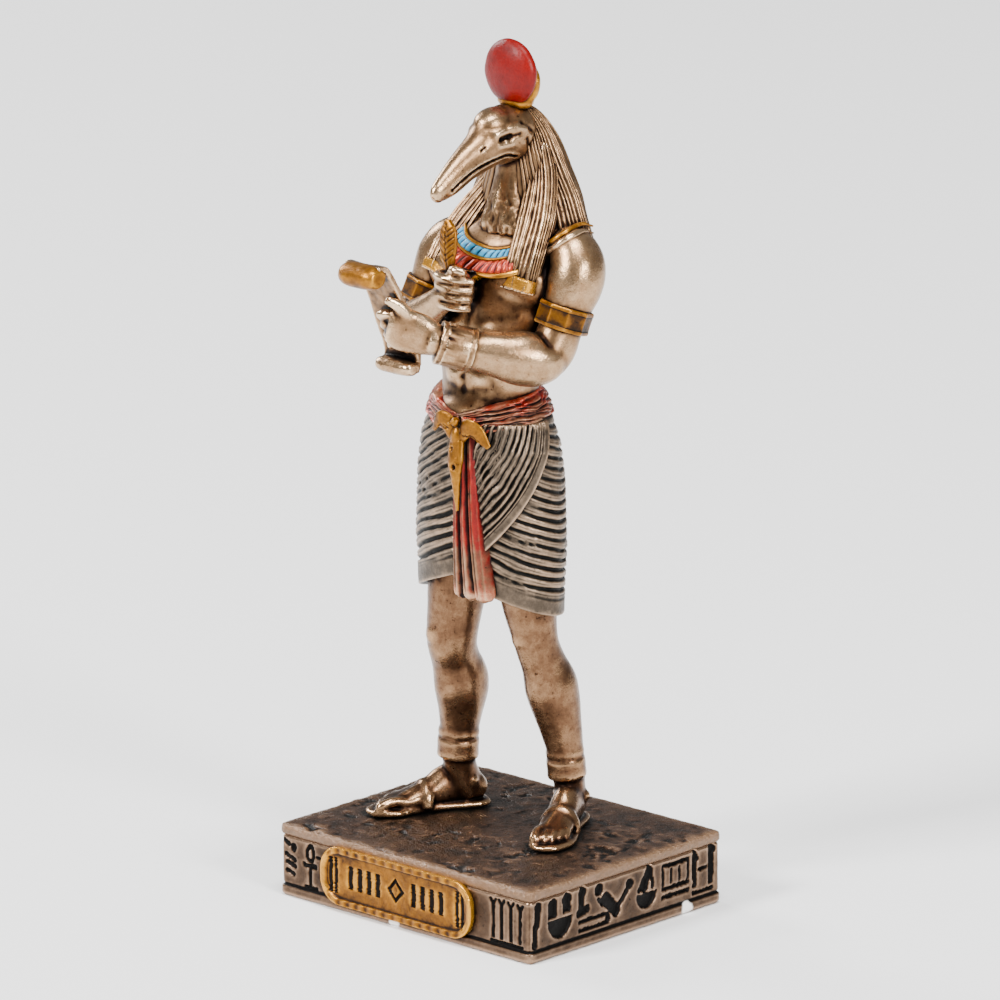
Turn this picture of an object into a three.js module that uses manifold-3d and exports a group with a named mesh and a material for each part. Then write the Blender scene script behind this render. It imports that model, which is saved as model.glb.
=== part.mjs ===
// An ibis-headed standing figure of cold-cast resin on a low block plinth.
// Millimetres, +Z up, the figure faces -Y and its left hand is on +X.
import * as THREE from 'three';
import { LoftGeometry } from 'three/addons/geometries/LoftGeometry.js';
import { mergeVertices } from 'three/addons/utils/BufferGeometryUtils.js';
import Module from 'manifold-3d';

const wasm = await Module();
wasm.setup();

// Sizes of the whole
const figureHeight = 80.5;
const plinthWidth = 34.6;
const plinthDepth = 28.3;
const plinthHeight = 7.7;

// Sizes of the plinth
const cornerRadius = 0.7;
const topRound = 0.5;
const footChamfer = 0.3;
const grooveDepth = 0.3;
const grooveHeight = 0.22;
const bandInset = 0.16;
const carvingDepth = 0.35;
const plaqueThickness = 0.7;
const plaqueRim = 0.42;
const plaqueStroke = 0.3;

// Sizes of the relief on the figure
const pleatDepth = 0.42;
const pleatCount = 13;
const panelLift = 0.42;
const panelPleats = 8;
const strandDepth = 0.24;
const wigStrands = 17;
const lappetStrands = 4;
const strapThickness = 0.28;
const soleThickness = 0.62;
const meltDistance = 0.001;
const tidyDistance = 0.07;

// The tables below are in the millimetres of a figure this tall, with its soles at zero
const tableHeight = 80.5;
const degree = Math.PI / 180;
const fullTurn = 2 * Math.PI;

// Helpers for solids
const solid = (geometry) => {
  const bare = new THREE.BufferGeometry();
  bare.setAttribute('position', geometry.getAttribute('position').clone());
  bare.setIndex(geometry.getIndex());
  const merged = mergeVertices(bare, meltDistance);
  const index = merged.getIndex().array;
  const corners = [];
  for (let i = 0; i < index.length; i += 3) {
    const [a, b, c] = [index[i], index[i + 1], index[i + 2]];
    if (a !== b && b !== c && c !== a) corners.push(a, b, c);
  }
  return new wasm.Manifold(new wasm.Mesh({
    numProp: 3,
    vertProperties: new Float32Array(merged.getAttribute('position').array),
    triVerts: new Uint32Array(corners)
  }));
};

const unite = (solids) => solids.reduce((whole, next) => whole.add(next));

// The outer shell of a body, with the hollows closed in between its parts left out
const outerShell = (body) => unite(body.decompose().filter((shell) => shell.volume() > 0));
const tidied = (body, distance) => outerShell(outerShell(body).asOriginal().simplify(distance));

const geometryOf = (body) => {
  const mesh = body.getMesh();
  const geometry = new THREE.BufferGeometry();
  const places = new Float32Array(mesh.numVert * 3);
  for (let i = 0; i < mesh.numVert; i += 1) {
    for (let k = 0; k < 3; k += 1) places[3 * i + k] = mesh.vertProperties[mesh.numProp * i + k];
  }
  geometry.setAttribute('position', new THREE.BufferAttribute(places, 3));
  geometry.setIndex(new THREE.BufferAttribute(new Uint32Array(mesh.triVerts), 1));
  geometry.computeVertexNormals();
  return geometry;
};

// A loft through rings of points, which are turned round when they run clockwise
const middleOf = (ring) => ring.reduce((sum, point) => sum.add(point), new THREE.Vector3())
  .divideScalar(ring.length);
const loft = (sections) => {
  const [first, next] = sections;
  const middle = middleOf(first);
  const facing = new THREE.Vector3();
  first.forEach((point, i) => {
    const [here, after] = [point, first[(i + 1) % first.length]].map((corner) => corner.clone().sub(middle));
    facing.add(here.cross(after));
  });
  const runsOn = facing.dot(middleOf(next).sub(middle)) > 0;
  const ordered = runsOn ? sections : sections.map((ring) => [...ring].reverse());
  return solid(new LoftGeometry(ordered, { capStart: true, capEnd: true }));
};

const spread = (from, to, share) => from + (to - from) * share;

// A value read off a table of [place, value ...] rows, with a straight line between rows
const readTable = (rows, place, column) => {
  const last = rows.length - 1;
  if (place <= rows[0][0]) return rows[0][column];
  if (place >= rows[last][0]) return rows[last][column];
  const after = rows.findIndex((row) => row[0] > place);
  const share = (place - rows[after - 1][0]) / (rows[after][0] - rows[after - 1][0]);
  return spread(rows[after - 1][column], rows[after][column], share);
};

// A limb: rows of [x, y, z, half width, half depth], smoothed along its centre line
const limb = (rows, sides, steps, side) => {
  const centres = new THREE.CatmullRomCurve3(rows.map((row) => new THREE.Vector3(row[0], row[1], row[2])));
  const sizes = new THREE.CatmullRomCurve3(rows.map((row) => new THREE.Vector3(row[3], row[4], 0)));
  const count = (rows.length - 1) * steps;
  const sections = [];
  for (let i = 0; i <= count; i += 1) {
    const along = i / count;
    const centre = centres.getPoint(along);
    const size = sizes.getPoint(along);
    const ahead = centres.getTangent(along);
    const across = side.clone().addScaledVector(ahead, -side.dot(ahead)).normalize();
    const outward = new THREE.Vector3().crossVectors(ahead, across);
    const section = [];
    for (let j = 0; j < sides; j += 1) {
      const turn = fullTurn * j / sides;
      section.push(centre.clone()
        .addScaledVector(across, Math.cos(turn) * size.x)
        .addScaledVector(outward, Math.sin(turn) * size.y));
    }
    sections.push(section);
  }
  return loft(sections);
};

const sideways = new THREE.Vector3(1, 0, 0);
const lengthways = new THREE.Vector3(0, 1, 0);
const upright = new THREE.Vector3(0, 0, 1);

// A rounded lump: centre, half sizes, a turn about the upright and a lean about x, in degrees
const lump = (centre, halves, turn, lean, around, tall) => {
  const ball = new THREE.SphereGeometry(1, around, tall);
  ball.rotateX(90 * degree);
  ball.scale(halves[0], halves[1], halves[2]);
  ball.rotateX(lean * degree);
  ball.rotateZ(turn * degree);
  ball.translate(centre[0], centre[1], centre[2]);
  return solid(ball);
};

// A band round a limb between two points on its centre line
const cuff = (from, to, radius, rim, sides) => {
  const start = new THREE.Vector3(...from);
  const end = new THREE.Vector3(...to);
  const ahead = end.clone().sub(start).normalize();
  const side = Math.abs(ahead.z) > 0.8 ? sideways : upright;
  const across = side.clone().addScaledVector(ahead, -side.dot(ahead)).normalize();
  const outward = new THREE.Vector3().crossVectors(ahead, across);
  const profile = [[0, radius - rim], [0.12, radius], [0.88, radius], [1, radius - rim]];
  return loft(profile.map(([share, size]) => {
    const centre = start.clone().lerp(end, share);
    return Array.from({ length: sides }, (_, j) => centre.clone()
      .addScaledVector(across, Math.cos(fullTurn * j / sides) * size)
      .addScaledVector(outward, Math.sin(fullTurn * j / sides) * size));
  }));
};

// Plinth block
const plinthRing = (inset, z) => {
  const halfWidth = plinthWidth / 2 - inset;
  const halfDepth = plinthDepth / 2 - inset;
  const radius = Math.max(cornerRadius - inset, cornerRadius / 4);
  const steps = 3;
  const ring = [];
  const corners = [[1, 1, 0], [-1, 1, 90], [-1, -1, 180], [1, -1, 270]];
  for (const [signX, signY, start] of corners) {
    for (let i = 0; i <= steps; i += 1) {
      const turn = (start + 90 * i / steps) * degree;
      ring.push(new THREE.Vector3(
        signX * (halfWidth - radius) + radius * Math.cos(turn),
        signY * (halfDepth - radius) + radius * Math.sin(turn),
        z
      ));
    }
  }
  return ring;
};

const lowGroove = plinthHeight * 0.16;
const highGroove = plinthHeight * 0.83;
const plinthRows = [
  [footChamfer, 0],
  [0, footChamfer],
  [0, lowGroove - grooveHeight],
  [grooveDepth, lowGroove],
  [bandInset, lowGroove + grooveHeight],
  [bandInset, highGroove - grooveHeight],
  [grooveDepth, highGroove],
  [0, highGroove + grooveHeight],
  [0, plinthHeight - topRound * 0.6],
  [topRound * 0.3, plinthHeight - topRound * 0.2],
  [topRound, plinthHeight]
];
let plinth = loft(plinthRows.map(([inset, z]) => plinthRing(inset, z)));

// Flat shapes of the sunk carving, in shares of the band height, from -0.5 to 0.5
const barShape = (x, y, width, height) => {
  const shape = new THREE.Shape();
  shape.moveTo(x - width / 2, y - height / 2);
  shape.lineTo(x + width / 2, y - height / 2);
  shape.lineTo(x + width / 2, y + height / 2);
  shape.lineTo(x - width / 2, y + height / 2);
  return shape;
};

const discShape = (x, y, radiusX, radiusY, fromTurn, toTurn) => {
  const steps = 5;
  const shape = new THREE.Shape();
  for (let i = 0; i <= steps; i += 1) {
    const turn = spread(fromTurn, toTurn, i / steps) * degree;
    const place = [x + radiusX * Math.cos(turn), y + radiusY * Math.sin(turn)];
    if (i === 0) shape.moveTo(...place);
    else shape.lineTo(...place);
  }
  return shape;
};

const slantShape = (x0, y0, x1, y1, width) => {
  const length = Math.hypot(x1 - x0, y1 - y0);
  const [nx, ny] = [-(y1 - y0) / length * width / 2, (x1 - x0) / length * width / 2];
  const shape = new THREE.Shape();
  shape.moveTo(x0 - nx, y0 - ny);
  shape.lineTo(x1 - nx, y1 - ny);
  shape.lineTo(x1 + nx, y1 + ny);
  shape.lineTo(x0 + nx, y0 + ny);
  return shape;
};

// Sunk marks of the right side, placed in shares of the side's length
const line = 0.13;
const sideMarks = [
  barShape(-0.455, 0, 0.012, 0.8),
  barShape(-0.425, 0, 0.012, 0.8),
  discShape(-0.345, 0.26, 0.022, 0.16, 0, 320),
  discShape(-0.28, 0.26, 0.022, 0.16, 0, 320),
  discShape(-0.315, -0.02, 0.055, 0.4, 180, 360),
  slantShape(-0.21, 0.4, -0.175, -0.1, 0.03),
  barShape(-0.16, -0.2, 0.07, line),
  discShape(-0.165, -0.38, 0.03, 0.1, 0, 320),
  barShape(-0.03, -0.05, 0.1, 0.16),
  slantShape(0.0, 0.05, 0.05, 0.42, 0.03),
  discShape(0.115, -0.12, 0.045, 0.32, 180, 360),
  slantShape(0.085, 0.0, 0.115, 0.4, 0.02),
  slantShape(0.145, 0.0, 0.115, 0.4, 0.02),
  barShape(0.235, 0.34, 0.11, line),
  barShape(0.2, 0.1, 0.012, 0.3),
  barShape(0.235, 0.1, 0.012, 0.3),
  barShape(0.27, 0.1, 0.012, 0.3),
  barShape(0.235, -0.22, 0.12, line),
  barShape(0.235, -0.4, 0.12, 0.08),
  barShape(0.355, 0, 0.014, 0.84),
  barShape(0.425, 0, 0.014, 0.84),
  barShape(0.39, 0.02, 0.08, line)
];
const frontMarks = [
  discShape(-0.475, 0.28, 0.012, 0.12, 0, 320),
  slantShape(-0.485, 0.0, -0.465, -0.2, 0.012),
  barShape(-0.475, -0.4, 0.03, 0.1),
  discShape(-0.405, 0.28, 0.018, 0.14, 0, 320),
  barShape(-0.405, 0.02, 0.055, 0.1),
  barShape(-0.405, -0.2, 0.012, 0.3),
  barShape(-0.405, -0.42, 0.07, 0.08),
  ...[0.345, 0.39, 0.435].flatMap((x) => [
    barShape(x, 0.22, 0.032, 0.09),
    barShape(x - 0.012, -0.08, 0.007, 0.42),
    barShape(x + 0.012, -0.08, 0.007, 0.42)
  ])
];
const plainMarks = [-0.36, -0.12, 0.12, 0.36].flatMap((x) => [
  barShape(x - 0.05, 0, 0.014, 0.8),
  discShape(x + 0.03, -0.1, 0.045, 0.3, 180, 360),
  barShape(x + 0.03, 0.28, 0.07, line)
]);
const bandHeight = highGroove - lowGroove - 4 * grooveHeight;
const bandMiddle = (highGroove + lowGroove) / 2;

// Sinks a row of marks into the side face that looks along the given turn
const sink = (marks, length, distance, turn) => unite(marks.map((shape) => {
  const mark = new THREE.ExtrudeGeometry(shape, { depth: 2 * carvingDepth, bevelEnabled: false });
  mark.scale(length, bandHeight, 1);
  mark.translate(0, 0, -carvingDepth);
  mark.rotateX(90 * degree);
  mark.translate(0, -distance, bandMiddle);
  mark.rotateZ(turn * degree);
  return solid(mark);
}));
const frontFace = plinthDepth / 2 - bandInset;
const sideFace = plinthWidth / 2 - bandInset;
plinth = plinth.subtract(sink(frontMarks, plinthWidth, frontFace, 0));
plinth = plinth.subtract(sink(sideMarks, plinthDepth, sideFace, 90));
plinth = plinth.subtract(sink(plainMarks, plinthWidth, frontFace, 180));
plinth = plinth.subtract(sink(plainMarks, plinthDepth, sideFace, 270));

// Name plaque with a raised border, double end bars and a row of shallow strokes
const plaqueCentre = plinthWidth * -0.01;
const plaqueHalf = plinthWidth * 0.265;
const plaqueRise = bandHeight * 0.56;
const plaqueShape = (halfLength, halfHeight) => {
  const shape = new THREE.Shape();
  const steps = 5;
  for (const side of [1, -1]) {
    for (let i = 0; i <= steps; i += 1) {
      const turn = (spread(-90, 90, i / steps) + (side === 1 ? 0 : 180)) * degree;
      const place = [
        side * (halfLength - halfHeight * 0.55) + Math.cos(turn) * halfHeight * 0.55,
        Math.sin(turn) * halfHeight
      ];
      if (side === 1 && i === 0) shape.moveTo(...place);
      else shape.lineTo(...place);
    }
  }
  return shape;
};
const onFront = (shape, from, to) => {
  const slab = new THREE.ExtrudeGeometry(shape, { depth: to - from, bevelEnabled: false });
  slab.translate(0, 0, from);
  slab.rotateX(90 * degree);
  slab.translate(plaqueCentre, -plinthDepth / 2, bandMiddle);
  return solid(slab);
};
const plaqueBack = -2 * grooveDepth;
const plaqueFloor = plaqueThickness - plaqueRim;
plinth = plinth.add(onFront(plaqueShape(plaqueHalf, plaqueRise), plaqueBack, plaqueThickness));
plinth = plinth.subtract(onFront(
  plaqueShape(plaqueHalf - plaqueRim, plaqueRise - plaqueRim), plaqueFloor, 2 * plaqueThickness
));
const endBars = [-1, 1].map((side) => barShape(side * plaqueHalf * 0.84, 0, plaqueRim, 2 * plaqueRise - plaqueRim));
for (const bar of endBars) {
  plinth = plinth.add(onFront(bar, plaqueBack, plaqueThickness));
}
const strokePlaces = [-0.62, -0.44, -0.27, -0.09, 0.09, 0.27, 0.44, 0.62];
for (const place of strokePlaces) {
  const stroke = barShape(place * plaqueHalf, 0, plaqueStroke, plaqueRise);
  plinth = plinth.subtract(onFront(stroke, plaqueFloor - plaqueStroke / 2, 2 * plaqueThickness));
}

// Body tables: [height, centre x, centre y, half width, half depth]
const kiltX = -1.2;
const kiltY = 0.1;
const kiltRows = [
  [22.0, 8.5, 5.5], [24.8, 8.6, 5.6], [29.9, 8.9, 5.8], [36.7, 8.6, 5.8],
  [40.2, 8.1, 5.5], [43.9, 6.45, 5.0], [45.4, 5.7, 4.4], [49.0, 5.2, 4.0]
];
const sashRows = [
  [41.0, 7.9, 5.6], [43.9, 6.45, 5.1], [45.4, 5.65, 4.5], [47.0, 5.3, 4.1]
];

// A point on the kilt's outline at an angle from the front, towards the left hand when above zero
const onOutline = (rows, angle, z, lift) => {
  const turn = angle * degree;
  return new THREE.Vector3(
    kiltX + (readTable(rows, z, 1) + lift) * Math.sin(turn),
    kiltY - (readTable(rows, z, 2) + lift) * Math.cos(turn),
    z
  );
};
const fall = (angle) => Math.sin(0.75 * Math.min(Math.abs(angle), 120) * degree);

// Kilt: pleats fall from the front to the sides and end in a smooth hem
const kiltSides = 26;
const kiltRing = (front, drop, lift) => Array.from({ length: kiltSides }, (_, j) => {
  const angle = 360 * j / kiltSides - 180;
  return onOutline(kiltRows, angle, front - drop * fall(angle), lift);
});
const hemFront = 27.0;
const hemDrop = 4.1;
const hemTopFront = 28.7;
const pleatTopFront = 51.5;
const pleatDrop = 7.6;
const kiltRings = [
  kiltRing(hemFront, hemDrop, -0.5),
  kiltRing(hemFront + 0.3, hemDrop, 0.05),
  kiltRing(hemTopFront - 0.3, hemDrop, 0.05),
  kiltRing(hemTopFront, hemDrop, -pleatDepth / 2)
];
for (let i = 0; i < pleatCount; i += 1) {
  for (const [part, lift] of [[0.35, 0.1], [1, -pleatDepth]]) {
    const share = (i + part) / pleatCount;
    kiltRings.push(kiltRing(spread(hemTopFront, pleatTopFront, share), spread(hemDrop, pleatDrop, share), lift));
  }
}
const kiltTop = 44.6;
const recess = [[1.6, 0.86], [-3, 0.9]].map(([rise, share]) => Array.from({ length: kiltSides }, (_, j) => {
  const angle = 360 * j / kiltSides - 180;
  const point = onOutline(kiltRows, angle, hemFront - hemDrop * fall(angle) + rise, 0);
  return new THREE.Vector3(kiltX + (point.x - kiltX) * share, kiltY + (point.y - kiltY) * share, point.z);
}));
let kilt = loft(kiltRings).trimByPlane([0, 0, -1], -kiltTop);
kilt = kilt.subtract(loft(recess));

// Wrap panel on the left of the apron: steep pleats inside a smooth border
const panelLines = [];
const panelSteps = 5;
const panelLine = (share) => {
  const topAngle = spread(97, 30, share);
  const footAngle = spread(26, 19, share);
  const footHeight = spread(29.8, 39.6, share);
  return (along) => [
    spread(topAngle, footAngle, along),
    spread(42.9, footHeight, along) - 0.9 * (1 - share) * Math.sin(Math.PI * along)
  ];
};
const panelShares = [[0, 0], [0.02, 1], [0.13, 1]];
for (let i = 0; i < panelPleats; i += 1) {
  panelShares.push([spread(0.16, 1, (i + 0.1) / panelPleats), 0.1], [spread(0.16, 1, (i + 0.6) / panelPleats), 0.9]);
}
for (const [share, height] of panelShares) {
  const lineAt = panelLine(share);
  const row = [];
  for (let k = 0; k <= panelSteps; k += 1) {
    row.push(onOutline(kiltRows, ...lineAt(k / panelSteps), height * panelLift + 0.05));
  }
  for (let k = panelSteps; k >= 0; k -= 1) {
    row.push(onOutline(kiltRows, ...lineAt(k / panelSteps), -1));
  }
  panelLines.push(row);
}
const panel = loft(panelLines);

// Sash with creases along it, higher at the sides than at the buckle
const sashRing = (share, lift) => Array.from({ length: kiltSides }, (_, j) => {
  const angle = 360 * j / kiltSides - 180;
  const low = 41.2 + 1.8 * fall(angle);
  const high = 43.7 + 2.1 * fall(angle);
  return onOutline(sashRows, angle, spread(low, high, share), lift);
});
const sash = loft([
  [0, -0.5], [0.05, 0.15], [0.3, 0.22], [0.38, 0.0], [0.46, 0.25], [0.64, 0.22],
  [0.7, 0.0], [0.78, 0.2], [1, -0.3]
].map(([share, lift]) => sashRing(share, lift)));

// Apron: three folds with rounded ends, a tapering pendant and a winged buckle
const apronRows = [
  [0.2, -4.9, 43.0, 1.15], [0.7, -5.5, 38.0, 1.35], [1.2, -5.9, 32.0, 1.7], [1.7, -5.8, 24.6, 2.2]
];
const apronFolds = [-0.66, 0, 0.66].map((place) => limb(
  apronRows.map(([x, y, z, half]) => [
    x + place * half, y + Math.abs(place) * 0.25, z + 0.3 * Math.abs(place) * (z < 30 ? 1 : 0),
    half * 0.4, 0.55 + half * 0.12
  ]), 8, 1, sideways
));
const apronBack = limb(apronRows.map(([x, y, z, half]) => [x, y + 0.7, z, half * 1.03, 0.75]), 8, 1, sideways);
const pendant = limb([
  [0.0, -5.6, 42.2, 0.75, 0.55], [0.15, -6.0, 39.8, 0.8, 0.5], [0.5, -6.3, 37.4, 0.5, 0.45],
  [0.75, -6.45, 34.6, 0.18, 0.3]
], 6, 1, sideways);
const buckle = [
  limb([[0.35, -5.5, 42.8, 0.9, 0.6], [1.6, -5.7, 44.0, 1.0, 0.45], [3.3, -5.1, 42.9, 0.35, 0.35]], 6, 1, upright),
  limb([[-0.35, -5.6, 42.8, 0.9, 0.6], [-1.4, -6.0, 44.5, 1.0, 0.45], [-2.7, -6.2, 43.9, 0.35, 0.35]], 6, 1, upright),
  lump([0, -5.75, 43.0], [0.8, 0.7, 1.5], 0, 0, 6, 5),
  lump([0, -6.0, 44.9], [0.5, 0.5, 0.6], 0, 0, 6, 5)
];

// Legs, anklets and sandalled feet
const legRows = {
  right: [
    [-4.4, 0.3, 34, 3.4, 3.5], [-5.3, 0, 27.5, 3.2, 3.3], [-5.5, -0.5, 23, 2.85, 2.95], [-5.9, -0.7, 18.6, 2.5, 2.6],
    [-6.2, 0.1, 16.3, 2.45, 2.55], [-6.3, 1.1, 13.4, 2.6, 3.0], [-6.8, 1.4, 9.8, 2.05, 2.25],
    [-7.2, 1.5, 6.4, 1.7, 1.9], [-7.4, 1.8, 3.2, 1.8, 2.1], [-7.3, 2.2, 1.0, 1.75, 2.2]
  ],
  left: [
    [1.9, 0.3, 34, 3.4, 3.5], [2.5, 0.9, 27.5, 3.0, 3.2], [2.95, 1.2, 23, 2.65, 2.8], [3.4, 1.5, 19.6, 2.25, 2.4],
    [3.65, 2.3, 17.2, 2.3, 2.5], [4.05, 3.3, 14.4, 2.55, 2.85], [4.55, 4.1, 10.2, 2.1, 2.2],
    [5.0, 4.6, 6.4, 1.65, 1.8], [5.05, 4.85, 3.2, 1.65, 2.0], [4.9, 5.0, 1.0, 1.65, 2.1]
  ]
};
const feet = {
  right: { heel: [-6.2, 5.0], toe: [-12.4, -6.6], ankle: [[-7.2, 1.4, 5.5], [-7.0, 1.4, 8.4]], band: 2.2 },
  left: { heel: [3.5, 7.6], toe: [9.8, -4.0], ankle: [[4.95, 4.6, 5.1], [4.75, 4.4, 7.9]], band: 2.05 }
};

// One foot on its own axes: x across towards the big toe, y from the heel to the toes
const footOf = (inner) => {
  const length = 13.1;
  const outline = [
    [-0.05, 0.0], [-1.2, 0.35], [-1.65, 2.0], [-1.6, 5.0], [-2.1, 8.2], [-2.2, 10.2], [-1.6, 11.9],
    [0.1, length], [1.2, 12.8], [1.9, 11.4], [2.2, 9.3], [1.7, 6.2], [1.5, 3.6], [1.6, 1.9], [1.1, 0.3]
  ];
  const ring = (grow, z) => outline.map(([x, y]) => new THREE.Vector3(
    inner * (x + Math.sign(x) * grow), y + Math.sign(y - length / 2) * grow, z
  ));
  const rings = [ring(-0.15, 0), ring(0.05, 0.15), ring(0.05, soleThickness - 0.12), ring(-0.15, soleThickness)];
  const sole = loft(rings);
  const foot = limb([
    [0, 0.7, 1.4, 1.05, 1.0], [0, 2.1, 1.8, 1.45, 1.75], [0, 4.2, 2.0, 1.45, 2.3], [0.05 * inner, 6.4, 1.7, 1.6, 1.55],
    [0.05 * inner, 8.4, 1.3, 1.8, 1.05], [0.05 * inner, 10.0, 1.05, 1.75, 0.75]
  ], 8, 1, sideways);
  const toes = [[1.35, 9.6, 12.5, 0.55], [0.45, 9.8, 12.2, 0.42], [-0.3, 9.6, 11.8, 0.4], [-0.95, 9.3, 11.2, 0.38],
    [-1.5, 9.0, 10.5, 0.36]].map(([x, from, to, half]) => limb([
    [inner * x, from, 1.15, half, half * 1.1], [inner * x, to - 0.35, 1.0, half * 0.95, half * 0.9],
    [inner * x, to, 0.85, half * 0.4, half * 0.45]
  ], 5, 1, sideways));
  const strapSteps = 5;
  const strap = (y, half, top, width) => {
    const band = [];
    for (let k = 0; k <= strapSteps; k += 1) {
      const turn = Math.PI * k / strapSteps;
      const [x, z] = [Math.cos(turn) * half, Math.sin(turn) * top + 0.5];
      band.push([x, y, z, width, strapThickness]);
    }
    return limb(band, 4, 1, lengthways);
  };
  const thong = limb([
    [inner * 0.9, 11.3, 1.1, 0.28, 0.3], [inner * 0.7, 9.6, 1.95, 0.28, 0.3], [inner * 0.3, 7.6, 2.75, 0.3, 0.3],
    [0, 5.9, 3.6, 0.3, 0.3]
  ], 4, 1, sideways);
  return unite([sole, foot, ...toes, strap(7.2, 1.95, 2.35, 0.55), thong]);
};
const placeFoot = ({ heel, toe, ankle, band }, inner) => {
  const turn = Math.atan2(toe[1] - heel[1], toe[0] - heel[0]) / degree - 90;
  const placed = footOf(inner).rotate([0, 0, turn]).translate([heel[0], heel[1], 0]);
  const [low, high] = ankle.map((point) => new THREE.Vector3(...point));
  const middle = low.clone().lerp(high, 0.72);
  const loop = limb([
    [low.x, low.y + 2.1, 3.2, 0.4, 0.3], [low.x - 1.9, low.y + 0.6, 3.7, 0.4, 0.3],
    [low.x - 1.3, low.y - 1.9, 4.2, 0.4, 0.3], [low.x + 0.6, low.y - 2.2, 4.2, 0.4, 0.3],
    [low.x + 1.8, low.y, 3.8, 0.4, 0.3], [low.x + 0.3, low.y + 2.1, 3.2, 0.4, 0.3]
  ], 4, 1, upright);
  return unite([
    placed, loop,
    cuff(low.toArray(), middle.toArray(), band, 0.25, 10),
    cuff(middle.clone().lerp(high, 0.1).toArray(), high.toArray(), band - 0.12, 0.25, 10)
  ]);
};
const legs = [
  limb(legRows.right, 12, 1, sideways),
  limb(legRows.left, 12, 1, sideways),
  placeFoot(feet.right, 1),
  placeFoot(feet.left, -1)
];

// Trunk: rows of [height, centre x, centre y, half width, half depth, turn]
const trunkRows = [
  [40.0, -1.2, 0.1, 6.4, 4.6, 0], [45.4, -1.2, 0.1, 5.6, 4.1, 0], [48.0, -1.2, 0.2, 5.7, 4.2, 2],
  [52.0, -0.8, 1.0, 6.9, 4.5, 6], [55.5, -0.5, 1.7, 7.8, 4.7, 9], [58.5, -0.4, 2.1, 8.1, 4.5, 10],
  [60.6, -0.1, 2.5, 7.5, 3.9, 10], [62.0, 0, 2.8, 5.6, 3.2, 8], [63.4, 0, 3.0, 3.2, 2.7, 5]
];
const trunkSides = 22;
const trunkSteps = 10;
const trunk = loft(Array.from({ length: trunkSteps + 1 }, (_, i) => {
  const z = spread(trunkRows[0][0], trunkRows[trunkRows.length - 1][0], i / trunkSteps);
  const read = (column) => readTable(trunkRows, z, column);
  return Array.from({ length: trunkSides }, (_, j) => {
    const turn = fullTurn * j / trunkSides;
    const [x, y] = [read(3) * Math.cos(turn), read(4) * Math.sin(turn)];
    const twist = read(5) * degree;
    return new THREE.Vector3(
      read(1) + x * Math.cos(twist) - y * Math.sin(twist),
      read(2) + x * Math.sin(twist) + y * Math.cos(twist),
      z
    );
  });
}));
const muscles = [
  lump([-4.2, -1.7, 56.4], [3.5, 1.9, 2.6], 4, 14, 10, 6),
  lump([3.2, -0.9, 56.2], [3.6, 1.9, 2.6], 14, 14, 10, 6),
  ...[[51.9, 2.0], [49.4, 1.85], [46.9, 1.75]].flatMap(([z, half], row) => [
    lump([-2.0 - 0.2 * row, -2.75 - 0.35 * row, z], [half, 1.0, 1.3], -6, 8, 6, 5),
    lump([1.3 - 0.35 * row, -2.5 - 0.35 * row, z], [half, 1.0, 1.3], 14, 8, 6, 5)
  ]),
  lump([-5.6, 2.2, 53.4], [1.9, 3.0, 5.0], 6, 6, 8, 5),
  lump([4.9, 3.2, 53.4], [2.0, 3.0, 5.0], 6, 6, 8, 5)
];

// Collar: rows of [height at the front, lift, swell] laid over the chest from the neck outwards
const collarSides = 20;
const collarCentre = new THREE.Vector3(0.3, 2.4, 60.6);
const collarRing = (reach, depth, z) => Array.from({ length: collarSides }, (_, j) => {
  const turn = fullTurn * j / collarSides;
  const forward = Math.max(0, -Math.sin(turn - 8 * degree));
  return new THREE.Vector3(
    collarCentre.x + reach * Math.cos(turn),
    collarCentre.y + depth * Math.sin(turn),
    z - (61.9 - 55.9) * forward * forward * (62.2 - z) / 1.9
  );
});
const collar = loft([
  collarRing(8.1, 4.3, 60.1), collarRing(8.4, 4.9, 60.5), collarRing(7.4, 4.85, 60.9), collarRing(7.3, 4.5, 60.95),
  collarRing(6.4, 4.25, 61.3), collarRing(5.2, 3.95, 61.75), collarRing(4.0, 3.3, 62.2)
]);

// Arms: shoulders, upper arms, forearms and bands
const leftArm = unite([
  limb([
    [5.2, 2.6, 60.3, 1.8, 2.0], [7.3, 2.6, 60.1, 2.5, 2.6], [8.5, 2.3, 58.6, 2.7, 2.9], [8.6, 1.7, 56.8, 2.7, 2.9],
    [8.4, 1.0, 55.0, 2.4, 2.6], [8.2, 0.2, 52.9, 2.2, 2.35], [8.0, -0.7, 50.9, 2.25, 2.4], [7.7, -1.6, 49.4, 2.1, 2.1]
  ], 12, 1, sideways),
  limb([
    [8.3, -0.8, 50.7, 1.9, 2.0], [7.8, -2.2, 50.0, 2.5, 2.35], [6.7, -4.1, 50.3, 2.75, 2.4],
    [4.9, -6.6, 51.0, 2.2, 2.0], [2.7, -9.2, 51.8, 1.7, 1.6], [1.0, -11.0, 52.7, 1.5, 1.5]
  ], 12, 1, upright),
  cuff([3.7, -8.0, 51.4], [1.6, -10.4, 52.3], 2.05, 0.2, 12),
  cuff([8.4, 0.9, 55.0], [8.1, 0.2, 52.8], 2.8, 0.2, 8)
]);
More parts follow.
